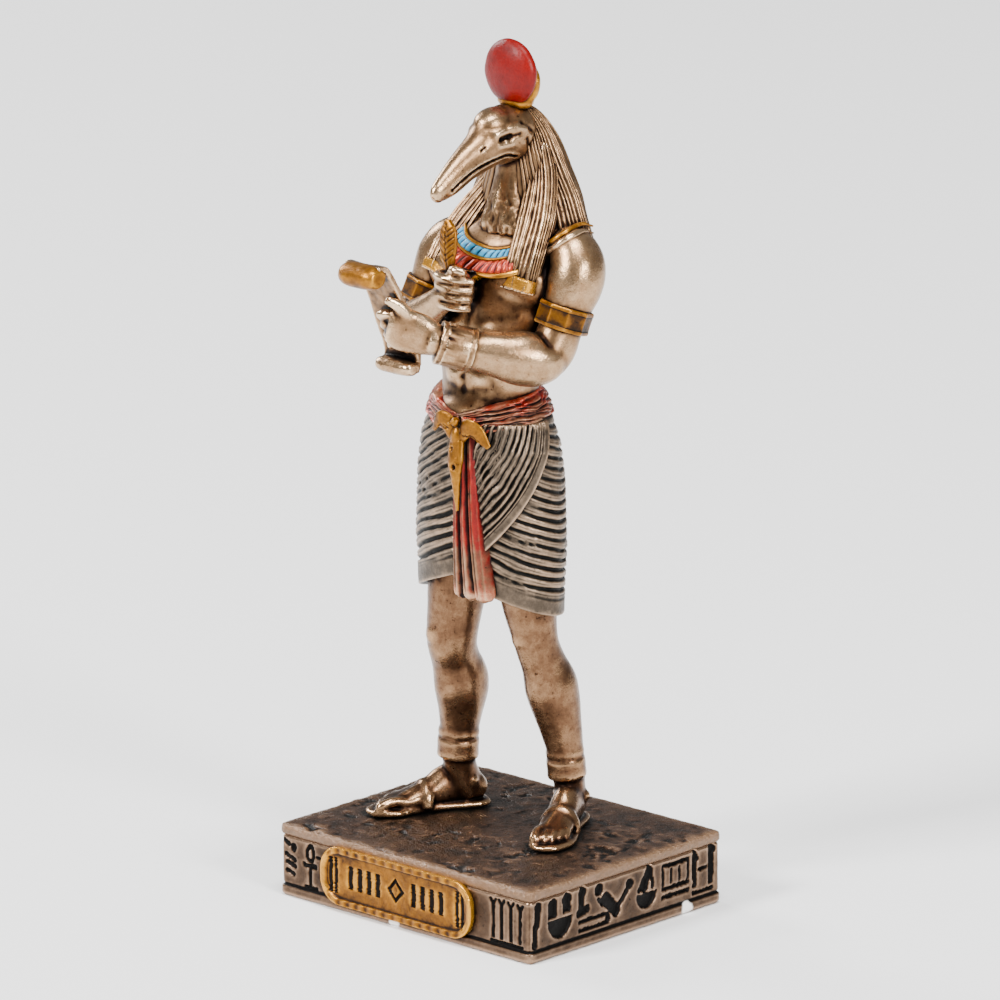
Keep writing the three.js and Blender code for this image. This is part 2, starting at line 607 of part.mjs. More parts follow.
const rightArm = unite([
  limb([
    [-5.2, 1.5, 59.3, 1.8, 2.0], [-7.2, 1.5, 59.1, 2.4, 2.5], [-8.5, 1.3, 57.6, 2.65, 2.7],
    [-9.0, 0.8, 55.9, 2.5, 2.6], [-9.4, 0.2, 54.2, 2.3, 2.4], [-9.8, -0.4, 52.4, 2.15, 2.2],
    [-10.2, -1.2, 50.4, 2.2, 2.2], [-10.2, -1.8, 49.4, 1.8, 1.8]
  ], 12, 1, sideways),
  limb([
    [-10.5, -1.3, 49.9, 1.8, 1.9], [-10.0, -2.2, 50.0, 2.2, 2.2], [-8.3, -3.3, 51.2, 2.3, 2.2],
    [-6.0, -4.2, 52.8, 1.8, 1.7], [-3.6, -4.9, 54.4, 1.45, 1.35], [-2.2, -5.1, 55.3, 1.4, 1.4]
  ], 12, 1, upright),
  cuff([-9.3, 0.3, 54.6], [-9.75, -0.4, 52.5], 2.75, 0.2, 8)
]);

// Hands: the left one carries the scroll, the right one is closed round the pen
const grip = new THREE.Vector3(0.2, 0, 1);
const leftHand = [
  limb([
    [1.6, -10.3, 52.3, 1.6, 1.25], [0.2, -11.8, 53.1, 2.3, 1.15], [-1.1, -13.0, 53.6, 2.3, 1.0],
    [-2.0, -13.7, 54.0, 1.7, 0.8]
  ], 8, 1, grip),
  limb([[0.0, -12.3, 54.6, 0.8, 0.8], [-0.6, -13.6, 56.3, 0.65, 0.65], [-1.2, -14.8, 57.2, 0.5, 0.45]], 6, 1, grip),
  ...[[0, 55.0], [1, 53.9], [2, 52.8], [3, 51.7]].map(([row, z]) => limb([
    [-0.9, -12.7 + 0.25 * row, z, 0.55, 0.6], [-2.0, -13.7 + 0.4 * row, z + 0.1, 0.52, 0.6],
    [-2.9, -13.8 + 0.5 * row, z - 0.1, 0.5, 0.5], [-3.5, -13.3 + 0.55 * row, z - 0.3, 0.25, 0.3]
  ], 6, 1, grip))
];
const rightHand = [
  lump([-1.4, -4.6, 56.0], [2.0, 1.5, 2.2], 10, 0, 8, 6),
  ...[0, 1, 2, 3].map((row) => limb([
    [-1.4, -4.1, 57.4 - 0.95 * row, 0.5, 0.6], [-3.1, -5.1 + 0.1 * row, 57.5 - 0.95 * row, 0.5, 0.6],
    [-2.1, -6.3 + 0.1 * row, 57.5 - 0.95 * row, 0.47, 0.55], [-0.3, -6.0 + 0.1 * row, 57.3 - 0.95 * row, 0.45, 0.5],
    [0.9 - 0.2 * row, -4.4, 57.1 - 0.95 * row, 0.4, 0.4]
  ], 6, 1, upright)),
  limb([[-1.5, -4.9, 57.6, 0.6, 0.55], [-0.6, -5.9, 58.3, 0.55, 0.5], [0.7, -5.4, 58.1, 0.4, 0.4]], 6, 1, upright)
];
const pen = limb([
  [-1.5, -4.9, 57.2, 0.4, 0.35], [-1.7, -5.1, 58.8, 0.75, 0.4], [-1.9, -5.0, 60.4, 1.15, 0.45],
  [-2.1, -4.8, 62.0, 1.05, 0.45], [-2.3, -4.6, 63.0, 0.35, 0.3]
], 6, 1, sideways);

// Scroll: an open sheet between a banded top roll and a curled foot
const scrollHalf = 2.15;
const scrollX = -2.8;
const rollAcross = (y, z, halfDeep, halfHigh, grow) => {
  const roll = new THREE.CylinderGeometry(1, 1, 2 * (scrollHalf + grow), 12, 1);
  roll.rotateZ(90 * degree);
  roll.scale(1, halfDeep, halfHigh);
  roll.translate(scrollX, y, z);
  return solid(roll);
};
const sheetCurve = new THREE.CatmullRomCurve3([
  [0, -16.6, 60.2], [0, -15.5, 60.0], [0, -14.4, 58.8], [0, -13.3, 56.7], [0, -12.3, 54.4], [0, -11.4, 52.2],
  [0, -10.9, 50.4], [0, -11.1, 48.9]
].map((row) => new THREE.Vector3(...row)));
const sheetHalf = 0.32;
const sheetSteps = 12;
const sheet = loft(Array.from({ length: sheetSteps + 1 }, (_, i) => {
  const centre = sheetCurve.getPoint(i / sheetSteps);
  const ahead = sheetCurve.getTangent(i / sheetSteps);
  const over = new THREE.Vector3().crossVectors(ahead, sideways);
  return [[1, 1], [-1, 1], [-1, -1], [1, -1]].map(([a, b]) => centre.clone()
    .addScaledVector(sideways, scrollX + a * scrollHalf)
    .addScaledVector(over, -b * sheetHalf));
}));
const scroll = unite([
  sheet,
  rollAcross(-16.75, 59.35, 1.25, 1.05, 0.08),
  rollAcross(-11.7, 49.35, 1.1, 0.85, 0.08)
]);

// Head, beak and neck
const head = unite([
  lump([0, 1.4, 71.1], [2.65, 4.2, 2.95], 0, 0, 14, 8),
  limb([
    [0, 2.0, 70.6, 2.6, 2.5], [0, -0.6, 70.8, 2.3, 2.75], [0, -2.6, 69.9, 1.85, 2.15], [0, -4.9, 68.8, 1.4, 1.75],
    [0, -6.9, 67.6, 1.1, 1.5], [0, -8.4, 66.8, 0.8, 1.15], [0, -9.2, 66.3, 0.45, 0.7]
  ], 12, 1, sideways),
  lump([1.75, -0.4, 71.9], [0.7, 1.5, 0.45], 20, 10, 6, 5),
  lump([-1.75, -0.4, 71.9], [0.7, 1.5, 0.45], -20, 10, 6, 5)
]);
const neck = limb([
  [0, 3.2, 69.5, 2.3, 2.6], [0, 3.0, 67, 2.05, 2.4], [0, 2.6, 64.6, 2.1, 2.4], [0, 1.9, 62.2, 2.5, 2.6],
  [0, 1.4, 60.4, 3.0, 2.6]
], 12, 1, sideways);

// Wig: strands run down from the crown over the shoulders, with a lappet on each side of the neck
const wigRows = [
  [56.6, 6.6, 2.2, 4.6], [58.6, 8.0, 3.2, 4.3], [60.5, 8.3, 3.7, 4.2], [62.8, 7.2, 3.6, 4.3], [65.0, 6.2, 3.5, 4.4],
  [67.2, 5.0, 3.2, 4.3], [69.6, 3.8, 2.9, 4.1], [71.3, 2.9, 2.3, 3.9], [73.0, 1.8, 1.6, 3.3], [73.8, 1.0, 0.9, 2.4]
];
const wig = loft(wigRows.map(([z, halfWide, halfDeep, y]) => Array.from({ length: 2 * wigStrands }, (_, j) => {
  const turn = Math.PI * j / wigStrands;
  const lift = (j % 2 === 0 ? 1 : -1) * strandDepth / 2;
  return new THREE.Vector3(
    (halfWide + lift) * Math.cos(turn),
    y + (halfDeep + lift) * Math.sin(turn),
    z
  );
})));
const lappet = (rows) => {
  const points = new THREE.CatmullRomCurve3(rows.map((row) => new THREE.Vector3(row[0], row[1], row[2])));
  const steps = rows.length - 1;
  return loft(Array.from({ length: steps + 1 }, (_, i) => {
    const centre = points.getPoint(i / steps);
    const ahead = points.getTangent(i / steps);
    const half = rows[i][3];
    const deep = rows[i][4];
    const across = sideways.clone().addScaledVector(ahead, -ahead.x).normalize();
    const outward = new THREE.Vector3().crossVectors(ahead, across);
    const count = 4 * lappetStrands;
    return Array.from({ length: count }, (_, j) => {
      const turn = fullTurn * (j + 0.5) / count;
      const lift = 1 + (j % 2 === 0 ? 1 : -1) * 0.07;
      const squareness = Math.max(Math.abs(Math.cos(turn)), Math.abs(Math.sin(turn)));
      return centre.clone()
        .addScaledVector(across, Math.cos(turn) * half * lift / spread(1, squareness, 0.7))
        .addScaledVector(outward, Math.sin(turn) * deep * lift / spread(1, squareness, 0.7));
    });
  }));
};
const lappets = [
  lappet([
    [2.9, 3.6, 68.4, 0.9, 0.8], [3.9, 2.2, 65.2, 1.3, 0.9], [4.6, 0.3, 62.0, 1.5, 0.85],
    [4.5, -1.2, 58.8, 1.55, 0.75], [4.3, -1.9, 56.2, 1.6, 0.7]
  ]),
  lappet([
    [-2.1, 3.6, 67.6, 0.8, 0.8], [-3.1, 2.4, 64.8, 1.3, 0.9], [-4.6, 0.6, 61.8, 1.7, 0.85],
    [-5.5, -1.6, 58.9, 1.6, 0.75], [-6.0, -2.8, 56.6, 1.5, 0.7]
  ]),
  cuff([4.33, -1.85, 57.3], [4.25, -2.0, 56.0], 1.75, 0.1, 10),
  cuff([-5.8, -2.5, 57.4], [-6.05, -2.9, 56.3], 1.65, 0.1, 10)
];

// Sun disc in its holder on the crown
const disc = unite([
  lump([0, 1.9, 77.15], [3.35, 1.35, 3.35], 0, 0, 18, 10),
  lump([0, 2.9, 75.6], [2.6, 1.4, 2.6], 0, -20, 12, 6),
  lump([0, 2.0, 73.9], [1.9, 1.7, 0.9], 0, 0, 10, 5)
]);

// The whole figure as one casting, at its size and on the plinth
let figure = unite([
  ...legs, trunk, ...muscles, kilt, panel, sash, ...apronFolds, apronBack, pendant, ...buckle, collar,
  leftArm, rightArm, ...leftHand, ...rightHand, pen, scroll, head, neck, wig, ...lappets, disc
]);
const figureScale = figureHeight / tableHeight;
figure = tidied(figure.trimByPlane([0, 0, 1], 0), tidyDistance)
  .scale([figureScale, figureScale, figureScale])
  .translate([0, 0, plinthHeight]);
plinth = tidied(plinth, tidyDistance / 2);

// Finishes
const bronzeResin = new THREE.MeshStandardMaterial({ color: 0xa08269, roughness: 0.45, metalness: 0.6 });
const plinthResin = new THREE.MeshStandardMaterial({ color: 0x7d6753, roughness: 0.55, metalness: 0.5 });

const group = new THREE.Group();
const addPiece = (name, body, finish) => {
  const piece = new THREE.Mesh(geometryOf(body), finish);
  piece.name = name;
  group.add(piece);
};
addPiece('figure', figure, bronzeResin);
addPiece('plinth', plinth, plinthResin);

export default group;
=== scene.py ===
import bpy
import math
import numpy as np
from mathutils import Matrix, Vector
from mathutils.bvhtree import BVHTree


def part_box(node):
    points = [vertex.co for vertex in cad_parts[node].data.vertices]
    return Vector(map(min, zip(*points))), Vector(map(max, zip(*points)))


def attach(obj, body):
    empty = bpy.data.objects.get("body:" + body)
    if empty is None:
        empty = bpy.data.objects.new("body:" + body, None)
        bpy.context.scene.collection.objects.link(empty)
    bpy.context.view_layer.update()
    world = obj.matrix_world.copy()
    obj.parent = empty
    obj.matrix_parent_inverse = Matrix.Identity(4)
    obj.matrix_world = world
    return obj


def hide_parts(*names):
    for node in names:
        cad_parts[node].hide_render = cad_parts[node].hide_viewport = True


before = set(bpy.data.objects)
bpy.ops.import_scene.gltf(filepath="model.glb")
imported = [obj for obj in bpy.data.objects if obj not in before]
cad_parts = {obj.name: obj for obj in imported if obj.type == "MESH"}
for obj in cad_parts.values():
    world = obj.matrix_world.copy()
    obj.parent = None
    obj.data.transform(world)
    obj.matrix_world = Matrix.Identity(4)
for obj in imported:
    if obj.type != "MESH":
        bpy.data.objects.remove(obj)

# Sizes are in millimetres. The figure's tables count height from its soles
mm = 0.001
drawnHeight = 80.5  # the figure's height in its tables
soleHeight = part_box("figure")[0].z / mm
figureShare = (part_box("figure")[1].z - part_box("figure")[0].z) / mm / drawnHeight
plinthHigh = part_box("plinth")[1].z / mm
plinthWide = (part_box("plinth")[1].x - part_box("plinth")[0].x) / mm
plinthDeep = 2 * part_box("plinth")[1].y / mm
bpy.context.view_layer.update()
fullTurn = 2 * math.pi


# Mesh helpers
def readPoints(piece):
    flat = np.empty(len(piece.data.vertices) * 3, np.float64)
    piece.data.vertices.foreach_get("co", flat)
    return flat.reshape(-1, 3)


def writePoints(piece, points):
    piece.data.vertices.foreach_set("co", np.ascontiguousarray(points, np.float64).ravel())
    piece.data.update()


def readEdges(piece):
    flat = np.empty(len(piece.data.edges) * 2, np.int32)
    piece.data.edges.foreach_get("vertices", flat)
    return flat.reshape(-1, 2)


def mark(piece, name, values):
    piece.data.attributes.new(name, "FLOAT", "POINT").data.foreach_set("value", np.float32(values))


def onlySelect(*pieces):
    bpy.ops.object.select_all(action="DESELECT")
    for piece in pieces:
        piece.select_set(True)
    bpy.context.view_layer.objects.active = pieces[0]


def faceOutwards(piece):
    onlySelect(piece)
    bpy.ops.object.mode_set(mode="EDIT")
    bpy.ops.mesh.select_all(action="SELECT")
    bpy.ops.mesh.normals_make_consistent(inside=False)
    bpy.ops.object.mode_set(mode="OBJECT")


# A closed form rolled from a grid: each row of it is moved to where place(share, turn) says
def makeForm(name, around, along, place):
    bpy.ops.object.select_all(action="DESELECT")
    bpy.ops.mesh.primitive_grid_add(x_subdivisions=around, y_subdivisions=along + 1, size=2)
    piece = bpy.context.object
    piece.name = name
    points = readPoints(piece)
    ring = np.rint((points[:, 1] + 1) / 2 * (along + 1)).astype(int)
    step = np.rint((points[:, 0] + 1) / 2 * around).astype(int) % around
    share = np.clip((ring - 1) / (along - 1), 0, 1)
    moved = np.stack(place(share, step / around * fullTurn), axis=1)
    for pole, near in ((0, 1), (along + 1, along)):  # both ends close to a point
        moved[ring == pole] = moved[ring == near].mean(axis=0)
    writePoints(piece, moved)
    bpy.ops.object.mode_set(mode="EDIT")
    bpy.ops.mesh.select_all(action="SELECT")
    bpy.ops.mesh.remove_doubles(threshold=0.0005)
    bpy.ops.mesh.normals_make_consistent(inside=False)
    bpy.ops.object.mode_set(mode="OBJECT")
    return piece


def smoothRows(rows, steps):  # a curve through the rows, with this many steps between two of them
    rows = np.array(rows, float)
    padded = np.vstack([2 * rows[0] - rows[1], rows, 2 * rows[-1] - rows[-2]])
    line = []
    for i in range(len(rows) - 1):
        a, b, c, d = padded[i:i + 4]
        for k in range(steps):
            t = k / steps
            line.append(0.5 * (2 * b + (c - a) * t + (2 * a - 5 * b + 4 * c - d) * t * t
                               + (3 * b - a - 3 * c + d) * t ** 3))
    line.append(rows[-1])
    return np.array(line)


def rowAt(share, rows):  # which row each share of the way falls on
    return np.rint(share * (len(rows) - 1)).astype(int)


def pathAxes(centre, side):  # the ways across and outward at each place of a path
    side = np.array(side, float)
    ahead = np.gradient(centre, axis=0)
    ahead /= np.linalg.norm(ahead, axis=1)[:, None]
    across = side - (ahead @ side)[:, None] * ahead
    across /= np.linalg.norm(across, axis=1)[:, None]
    return across, np.cross(ahead, across)


def makeLimb(name, rows, side=(1, 0, 0), around=20, steps=5):  # rows: x, y, z, half width, half depth
    line = smoothRows(rows, steps)
    centre = line[:, :3]
    across, outward = pathAxes(centre, side)

    def place(share, turn):
        i = rowAt(share, line)
        moved = (centre[i] + across[i] * (np.cos(turn) * line[i, 3])[:, None]
                 + outward[i] * (np.sin(turn) * line[i, 4])[:, None])
        return moved.T
    return makeForm(name, around, len(line), place)


def makeLump(name, centre, halves, turn=0, lean=0):
    bpy.ops.object.select_all(action="DESELECT")
    bpy.ops.mesh.primitive_uv_sphere_add(segments=24, ring_count=14, radius=1)
    piece = bpy.context.object
    piece.name = name
    points = readPoints(piece) * halves
    tilt, spin = math.radians(lean), math.radians(turn)
    x, y, z = points.T
    y, z = y * math.cos(tilt) - z * math.sin(tilt), y * math.sin(tilt) + z * math.cos(tilt)
    x, y = x * math.cos(spin) - y * math.sin(spin), x * math.sin(spin) + y * math.cos(spin)
    writePoints(piece, np.stack([x, y, z], axis=1) + centre)
    return piece


def joinAll(name, pieces):
    onlySelect(*pieces)
    bpy.ops.object.join()
    pieces[0].name = name
    return pieces[0]


def useModifier(piece, kind, **settings):
    onlySelect(piece)
    modifier = piece.modifiers.new(kind.lower(), kind)
    for key, value in settings.items():
        setattr(modifier, key, value)
    bpy.ops.object.modifier_apply(modifier=modifier.name)


def fuse(piece, grain, softness):  # one skin over all the lumps, as clay pressed together
    useModifier(piece, "REMESH", mode="VOXEL", voxel_size=grain, adaptivity=0)
    useModifier(piece, "SMOOTH", factor=0.5, iterations=softness)


def pointNormals(piece):
    flat = np.empty(len(piece.data.vertices) * 3, np.float32)
    piece.data.vertex_normals.foreach_get("vector", flat)
    return flat.reshape(-1, 3).astype(float)


def distanceTo(points, path):  # distance from each point to a line through the path's corners
    best = np.full(len(points), 1e9)
    for start, end in zip(path[:-1], path[1:]):
        along = end - start
        share = np.clip((points - start) @ along / max(along @ along, 1e-12), 0, 1)
        best = np.minimum(best, np.linalg.norm(points - start - share[:, None] * along, axis=1))
    return best


# A groove along the path, laid on the surface first, or a ridge when depth is below zero
def carve(piece, path, width, depth):
    tree = BVHTree.FromObject(piece, bpy.context.evaluated_depsgraph_get())
    path = np.array(path, float)
    if len(path) == 1:
        path = np.repeat(path, 2, axis=0)
    steps = max(2, int(np.linalg.norm(np.diff(path, axis=0), axis=1).max() / width / 1.5))
    laid = np.array([list(tree.find_nearest(Vector(spot))[0]) for spot in smoothRows(path, steps)])
    points = readPoints(piece)
    near = distanceTo(points, laid)
    press = np.where(near < 3 * width, depth * np.exp(-(near / width) ** 2), 0)
    writePoints(piece, points - pointNormals(piece) * press[:, None])


def layeredNoise(points, size, seed, layers=3):  # soft bumps between -1 and 1, each layer half as large
    table = np.random.default_rng(seed).uniform(-1, 1, (32, 32, 32))
    total = np.zeros(len(points))
    for layer in range(layers):
        spot = points / (size * 0.5 ** layer) + 7.3 * layer
        base = np.floor(spot).astype(int)
        part = spot - base
        part = part * part * (3 - 2 * part)
        for corner in np.ndindex(2, 2, 2):
            weight = np.prod(np.where(corner, part, 1 - part), axis=1)
            x, y, z = ((base + corner) % 32).T
            total += 0.55 ** layer * weight * table[x, y, z]
    return total


def roughen(piece, size, height, seed):
    points = readPoints(piece)
    writePoints(piece, points + pointNormals(piece) * (layeredNoise(points, size, seed) * height)[:, None])
    return piece


def spreadOut(points, edges, rounds):  # each point drifts to the middle of its neighbours
    counts = np.bincount(edges.ravel(), minlength=len(points))[:, None]
    for _ in range(rounds):
        total = np.stack([
            np.bincount(edges[:, 0], points[edges[:, 1], k], len(points))
            + np.bincount(edges[:, 1], points[edges[:, 0], k], len(points))
            for k in range(points.shape[1])
        ], axis=1)
        points = 0.5 * points + 0.5 * total / np.maximum(counts, 1)
    return points


def markHollows(piece, rounds=(5, 30)):  # how deep each point lies in a hollow: the fine measure is for the dark wash, the broad one gives painted shade in broad hollows and a painted highlight on broad bulges
    edges = readEdges(piece)
    points, normals = readPoints(piece), pointNormals(piece)
    for name, count in zip(("fineHollow", "broadShadeDepth"), rounds):
        depth = np.einsum("ij,ij->i", spreadOut(points, edges, count) - points, normals)
        mark(piece, name, spreadOut(depth[:, None], edges, rounds=1)[:, 0])


finished = []


# Last steps for each piece: its hollows, size in metres, finish and place in the frame
def finishPiece(piece, paint, node="figure"):
    finish, slot = paints[paint]
    markHollows(piece)
    points = readPoints(piece)
    if node == "figure":
        points = points * figureShare + (0, 0, soleHeight)
    writePoints(piece, points * mm)
    onlySelect(piece)
    bpy.ops.object.shade_smooth()
    piece.data.materials.clear()
    piece.data.materials.append(finish)
    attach(piece, "root")
    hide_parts(node)
    finished.append(piece)
    return piece


# Painted shade where other surfaces stand close by: short rays from each point count what they meet
def markOcclusionShade(pieces, reach, rays):
    corners, faces, start = [], [], 0
    for piece in pieces:
        points = readPoints(piece)
        corners.extend(map(tuple, points))
        flat = np.empty(len(piece.data.loops), np.int32)
        piece.data.loops.foreach_get("vertex_index", flat)
        sizes = np.empty(len(piece.data.polygons), np.int32)
        piece.data.polygons.foreach_get("loop_total", sizes)
        faces.extend(part.tolist() for part in np.split(flat + start, np.cumsum(sizes)[:-1]))
        start += len(points)
    tree = BVHTree.FromPolygons(corners, faces)
    rng = np.random.default_rng(5)
    for piece in pieces:
        points, normals = readPoints(piece), pointNormals(piece)
        met = np.zeros(len(points))
        for _ in range(rays):
            ways = normals * 1.25 + rng.normal(size=points.shape) * 0.55
            ways /= np.linalg.norm(ways, axis=1)[:, None]
            starts = points + normals * reach * 0.02
            for i, (begin, way) in enumerate(zip(starts.tolist(), ways.tolist())):
                hit = tree.ray_cast(begin, way, reach)[3]
                if hit is not None:
                    met[i] += 1 - hit / reach
        mark(piece, "occlusionShade", spreadOut(met[:, None] / rays, readEdges(piece), rounds=4)[:, 0])


# Material helpers
def linearColour(text):
    parts = [int(text[i:i + 2], 16) / 255 for i in (1, 3, 5)]
    return [c / 12.92 if c <= 0.04045 else ((c + 0.055) / 1.055) ** 2.4 for c in parts] + [1.0]


def addNode(tree, kind, settings=None, links=None):
    node = tree.nodes.new(kind)
    for key, value in (settings or {}).items():
        if isinstance(key, str) and hasattr(node, key):
            setattr(node, key, value)
        else:
            node.inputs[key].default_value = value
    for key, source in (links or {}).items():
        tree.links.new(source, node.inputs[key])
    return node


# Cold-cast resin: bronze powder cast with the resin, dark wash left in the hollows, high places rubbed
# bright; the same colours also carry painted shade in broad hollows and where other parts stand close, and a
# painted highlight on broad bulges
castBronze = {
    "hollow": "#070302",
    "washAndShade": "#2b190f",
    "body": "#92704f",
    "rubbedAndHighlight": "#e2c19a",
    "worn": "#9c7858",
    "washAndShadeDepth": 0.035,
    "cloud": 0.3,
    "cloudSize": 2.4,
    "grainSize": 0.22,
    "roughness": 0.2,
    "metallic": 0.95,
    "bump": 0.05,
    "pits": 0.06,
    "wornRubbed": "#ecd0b0",
    "shine": 0.5,
    "broadShadeShare": 0.36,
    "lineWashAndShadeShare": 0.13,
}


def castFinish(name, look):
    look = {**castBronze, **look}
    finish = bpy.data.materials.new(name)
    finish.use_nodes = True
    tree = finish.node_tree
    surface = tree.nodes["Principled BSDF"]
    place = addNode(tree, "ShaderNodeTexCoord").outputs["Object"]

    def noise(size, detail, roughness):
        settings = {"Scale": 1 / (size * mm), "Detail": detail, "Roughness": roughness}
        return addNode(tree, "ShaderNodeTexNoise", settings, {"Vector": place}).outputs["Fac"]

    def ranged(source, *ends):  # from low, from high, to low, to high
        settings = dict(zip(("From Min", "From Max", "To Min", "To Max"), ends))
        return addNode(tree, "ShaderNodeMapRange", settings, {"Value": source}).outputs["Result"]

    def added(first, second, clamped=False):
        settings = {"operation": "ADD", "use_clamp": clamped}
        return addNode(tree, "ShaderNodeMath", settings, {0: first, 1: second}).outputs[0]

    def scaled(source, factor):
        return addNode(tree, "ShaderNodeMath", {"operation": "MULTIPLY", 1: factor}, {0: source}).outputs[0]

    def toned(first, last, *between):  # colours by the amount of wash and painted shade: name and place of each stop
        node = addNode(tree, "ShaderNodeValToRGB", {}, {"Fac": amount})
        stops = node.color_ramp.elements
        for stop, (key, position) in zip(stops, (first, last)):
            stop.position, stop.color = position, linearColour(look[key])
        for key, position in between:
            stops.new(position).color = linearColour(look[key])
        return node.outputs["Color"]

    # fine hollows, pits and sunk lines carry the real wash; broad and near add painted shade, and broad
    # bulges a painted highlight
    fine, broad, near, worn, line, chip = [
        addNode(tree, "ShaderNodeAttribute", {"attribute_name": key}).outputs["Fac"]
        for key in ("fineHollow", "broadShadeDepth", "occlusionShade", "wear", "lineWash", "chip")]
    cloud = noise(look["cloudSize"], 5.0, 0.65)
    speck = noise(look["grainSize"], 3.0, 0.7)
    pits = ranged(noise(0.6, 4.0, 0.75), 0.62, 0.74, 0.0, look["pits"])
    depth = added(added(added(fine, pits), scaled(broad, look["broadShadeShare"])),
                  scaled(added(near, line), look["lineWashAndShadeShare"]))
    drift = look["washAndShadeDepth"] * look["cloud"]
    uneven = added(depth, ranged(cloud, 0.3, 0.7, -drift, drift))
    amount = ranged(uneven, -look["washAndShadeDepth"] * 3.0, look["washAndShadeDepth"] * 2.2)
    coat = toned(("rubbedAndHighlight", 0.0), ("hollow", 1.0), ("body", 0.5), ("washAndShade", 0.76))
    under = toned(("wornRubbed", 0.0), ("hollow", 0.85), ("worn", 0.5))
    bareShare = added(worn, ranged(cloud, 0.42, 0.58, -0.35, 0.35), True)
    gate = addNode(tree, "ShaderNodeMath", {"operation": "GREATER_THAN", 1: 0.01}, {0: worn})
    shown = addNode(tree, "ShaderNodeMath", {"operation": "MULTIPLY"}, {0: bareShare, 1: gate.outputs[0]})
    mixed = addNode(tree, "ShaderNodeMix", {"data_type": "RGBA"},
                    {"Factor": shown.outputs[0], 6: coat, 7: under})
    colour = addNode(tree, "ShaderNodeVectorMath", {"operation": "SCALE"},
                     {0: mixed.outputs[2], "Scale": ranged(speck, 0.35, 0.65, 0.82, 1.12)})
    chipped = addNode(tree, "ShaderNodeMix", {"data_type": "RGBA", 7: linearColour("#f2f0ec")},
                      {"Factor": chip, 6: colour.outputs[0]})
    bump = addNode(tree, "ShaderNodeBump", {"Strength": 0.5, "Distance": look["bump"] * mm},
                   {"Height": speck})
    surface.inputs["Specular IOR Level"].default_value = look["shine"]
    for key, source in (
            ("Metallic", ranged(chip, 0.0, 1.0, look["metallic"], 0.0)), ("Base Color", chipped.outputs[2]),
            ("Roughness", ranged(amount, 0.0, 1.0, look["roughness"] - 0.06, look["roughness"] + 0.24)),
            ("Normal", bump.outputs["Normal"])):
        tree.links.new(source, surface.inputs[key])
    return finish


bronzeFinish = castFinish("cold-cast bronze resin, washed dark and rubbed", {})
# The same casting as a darker, browner copy for the legs, as painted shade, with softer highlights
legFinish = castFinish("cold-cast bronze resin, darkened copy as painted shade", {
    "body": "#684a34", "rubbedAndHighlight": "#b8926c", "cloud": 0.6, "roughness": 0.2, "pits": 0.09})
# Grey-green wash over the cast pleats: dull bands between black lines
kiltFinish = castFinish("cold-cast bronze resin, brushed with grey-green patina", {
    "hollow": "#060503", "washAndShade": "#261f16", "body": "#52463a", "rubbedAndHighlight": "#a3886e",
    "cloud": 0.7, "roughness": 0.34, "metallic": 0.8})
# Gold paint with mica in it, brown where the wash lies over it
goldFinish = castFinish("gold acrylic paint, brushed on resin", {
    "hollow": "#0e0601", "washAndShade": "#331c04", "body": "#84520b", "rubbedAndHighlight": "#cf922e", "worn": "#86624a",
    "washAndShadeDepth": 0.04, "cloud": 0.7, "roughness": 0.28, "metallic": 0.78})
# Thin red that lets the bronze through on the folds
redFinish = castFinish("red acrylic paint, brushed thin on resin", {
    "hollow": "#120302", "washAndShade": "#340704", "body": "#7a0d08", "rubbedAndHighlight": "#a83e26", "worn": "#745038",
    "roughness": 0.28, "metallic": 0.5, "shine": 0.3, "wornRubbed": "#bd9472"})
# Opaque satin red, darker in streaks
discFinish = castFinish("red enamel paint, two coats on resin", {
    "hollow": "#1c0302", "washAndShade": "#430302", "body": "#6a0402", "rubbedAndHighlight": "#820603", "worn": "#a86e12",
    "washAndShadeDepth": 0.06, "cloud": 0.8, "roughness": 0.3, "metallic": 0.0, "shine": 0.2})
# Clear light blue with a dark wash between the strokes
blueFinish = castFinish("light blue acrylic paint, brushed on resin", {
    "hollow": "#03080c", "washAndShade": "#0a3048", "body": "#1879a8", "rubbedAndHighlight": "#3f9fc6",
    "roughness": 0.34, "metallic": 0.0, "shine": 0.3})
# Brown satin sides with black wash left in every sunk mark
plinthFinish = castFinish("cold-cast bronze resin, stamped and washed black", {
    "hollow": "#050302", "washAndShade": "#1c110a", "body": "#4c392a", "rubbedAndHighlight": "#93765e", "worn": "#4a2c1a",
    "cloudSize": 3.5, "cloud": 0.6, "roughness": 0.3, "metallic": 0.85, "bump": 0.06})
# Dark glossy crust with speckles, rubbed to bronze along the rim
slabFinish = castFinish("cold-cast bronze resin, rough cast and lacquered brown", {
    "hollow": "#020100", "washAndShade": "#0b0603", "body": "#3a271b", "rubbedAndHighlight": "#7d604b", "worn": "#4e3828",
    "cloudSize": 2.0, "cloud": 1.0, "grainSize": 0.4, "roughness": 0.2, "metallic": 0.3, "bump": 0.6,
    "pits": 0.12, "shine": 0.35, "wornRubbed": "#73573f"})
paints = {  # finish and slot
    "bronze": (bronzeFinish, "bronze_resin"), "leg": (legFinish, "bronze_resin"),
    "kilt": (kiltFinish, "kilt_patina"), "gold": (goldFinish, "gold_paint"), "red": (redFinish, "red_paint"),
    "disc": (discFinish, "red_paint"), "blue": (blueFinish, "blue_paint"),
    "slab": (slabFinish, "plinth_resin"), "sides": (plinthFinish, "plinth_resin"),
}
print("finishes made")

# Camera: a long lens from the front and the figure's left
cameraPlace = {"azimuth": 43.29, "elevation": 15.2, "distance": 900, "aim": 41.53, "aside": 0.07,
               "lens": 325.6, "roll": -0.16}


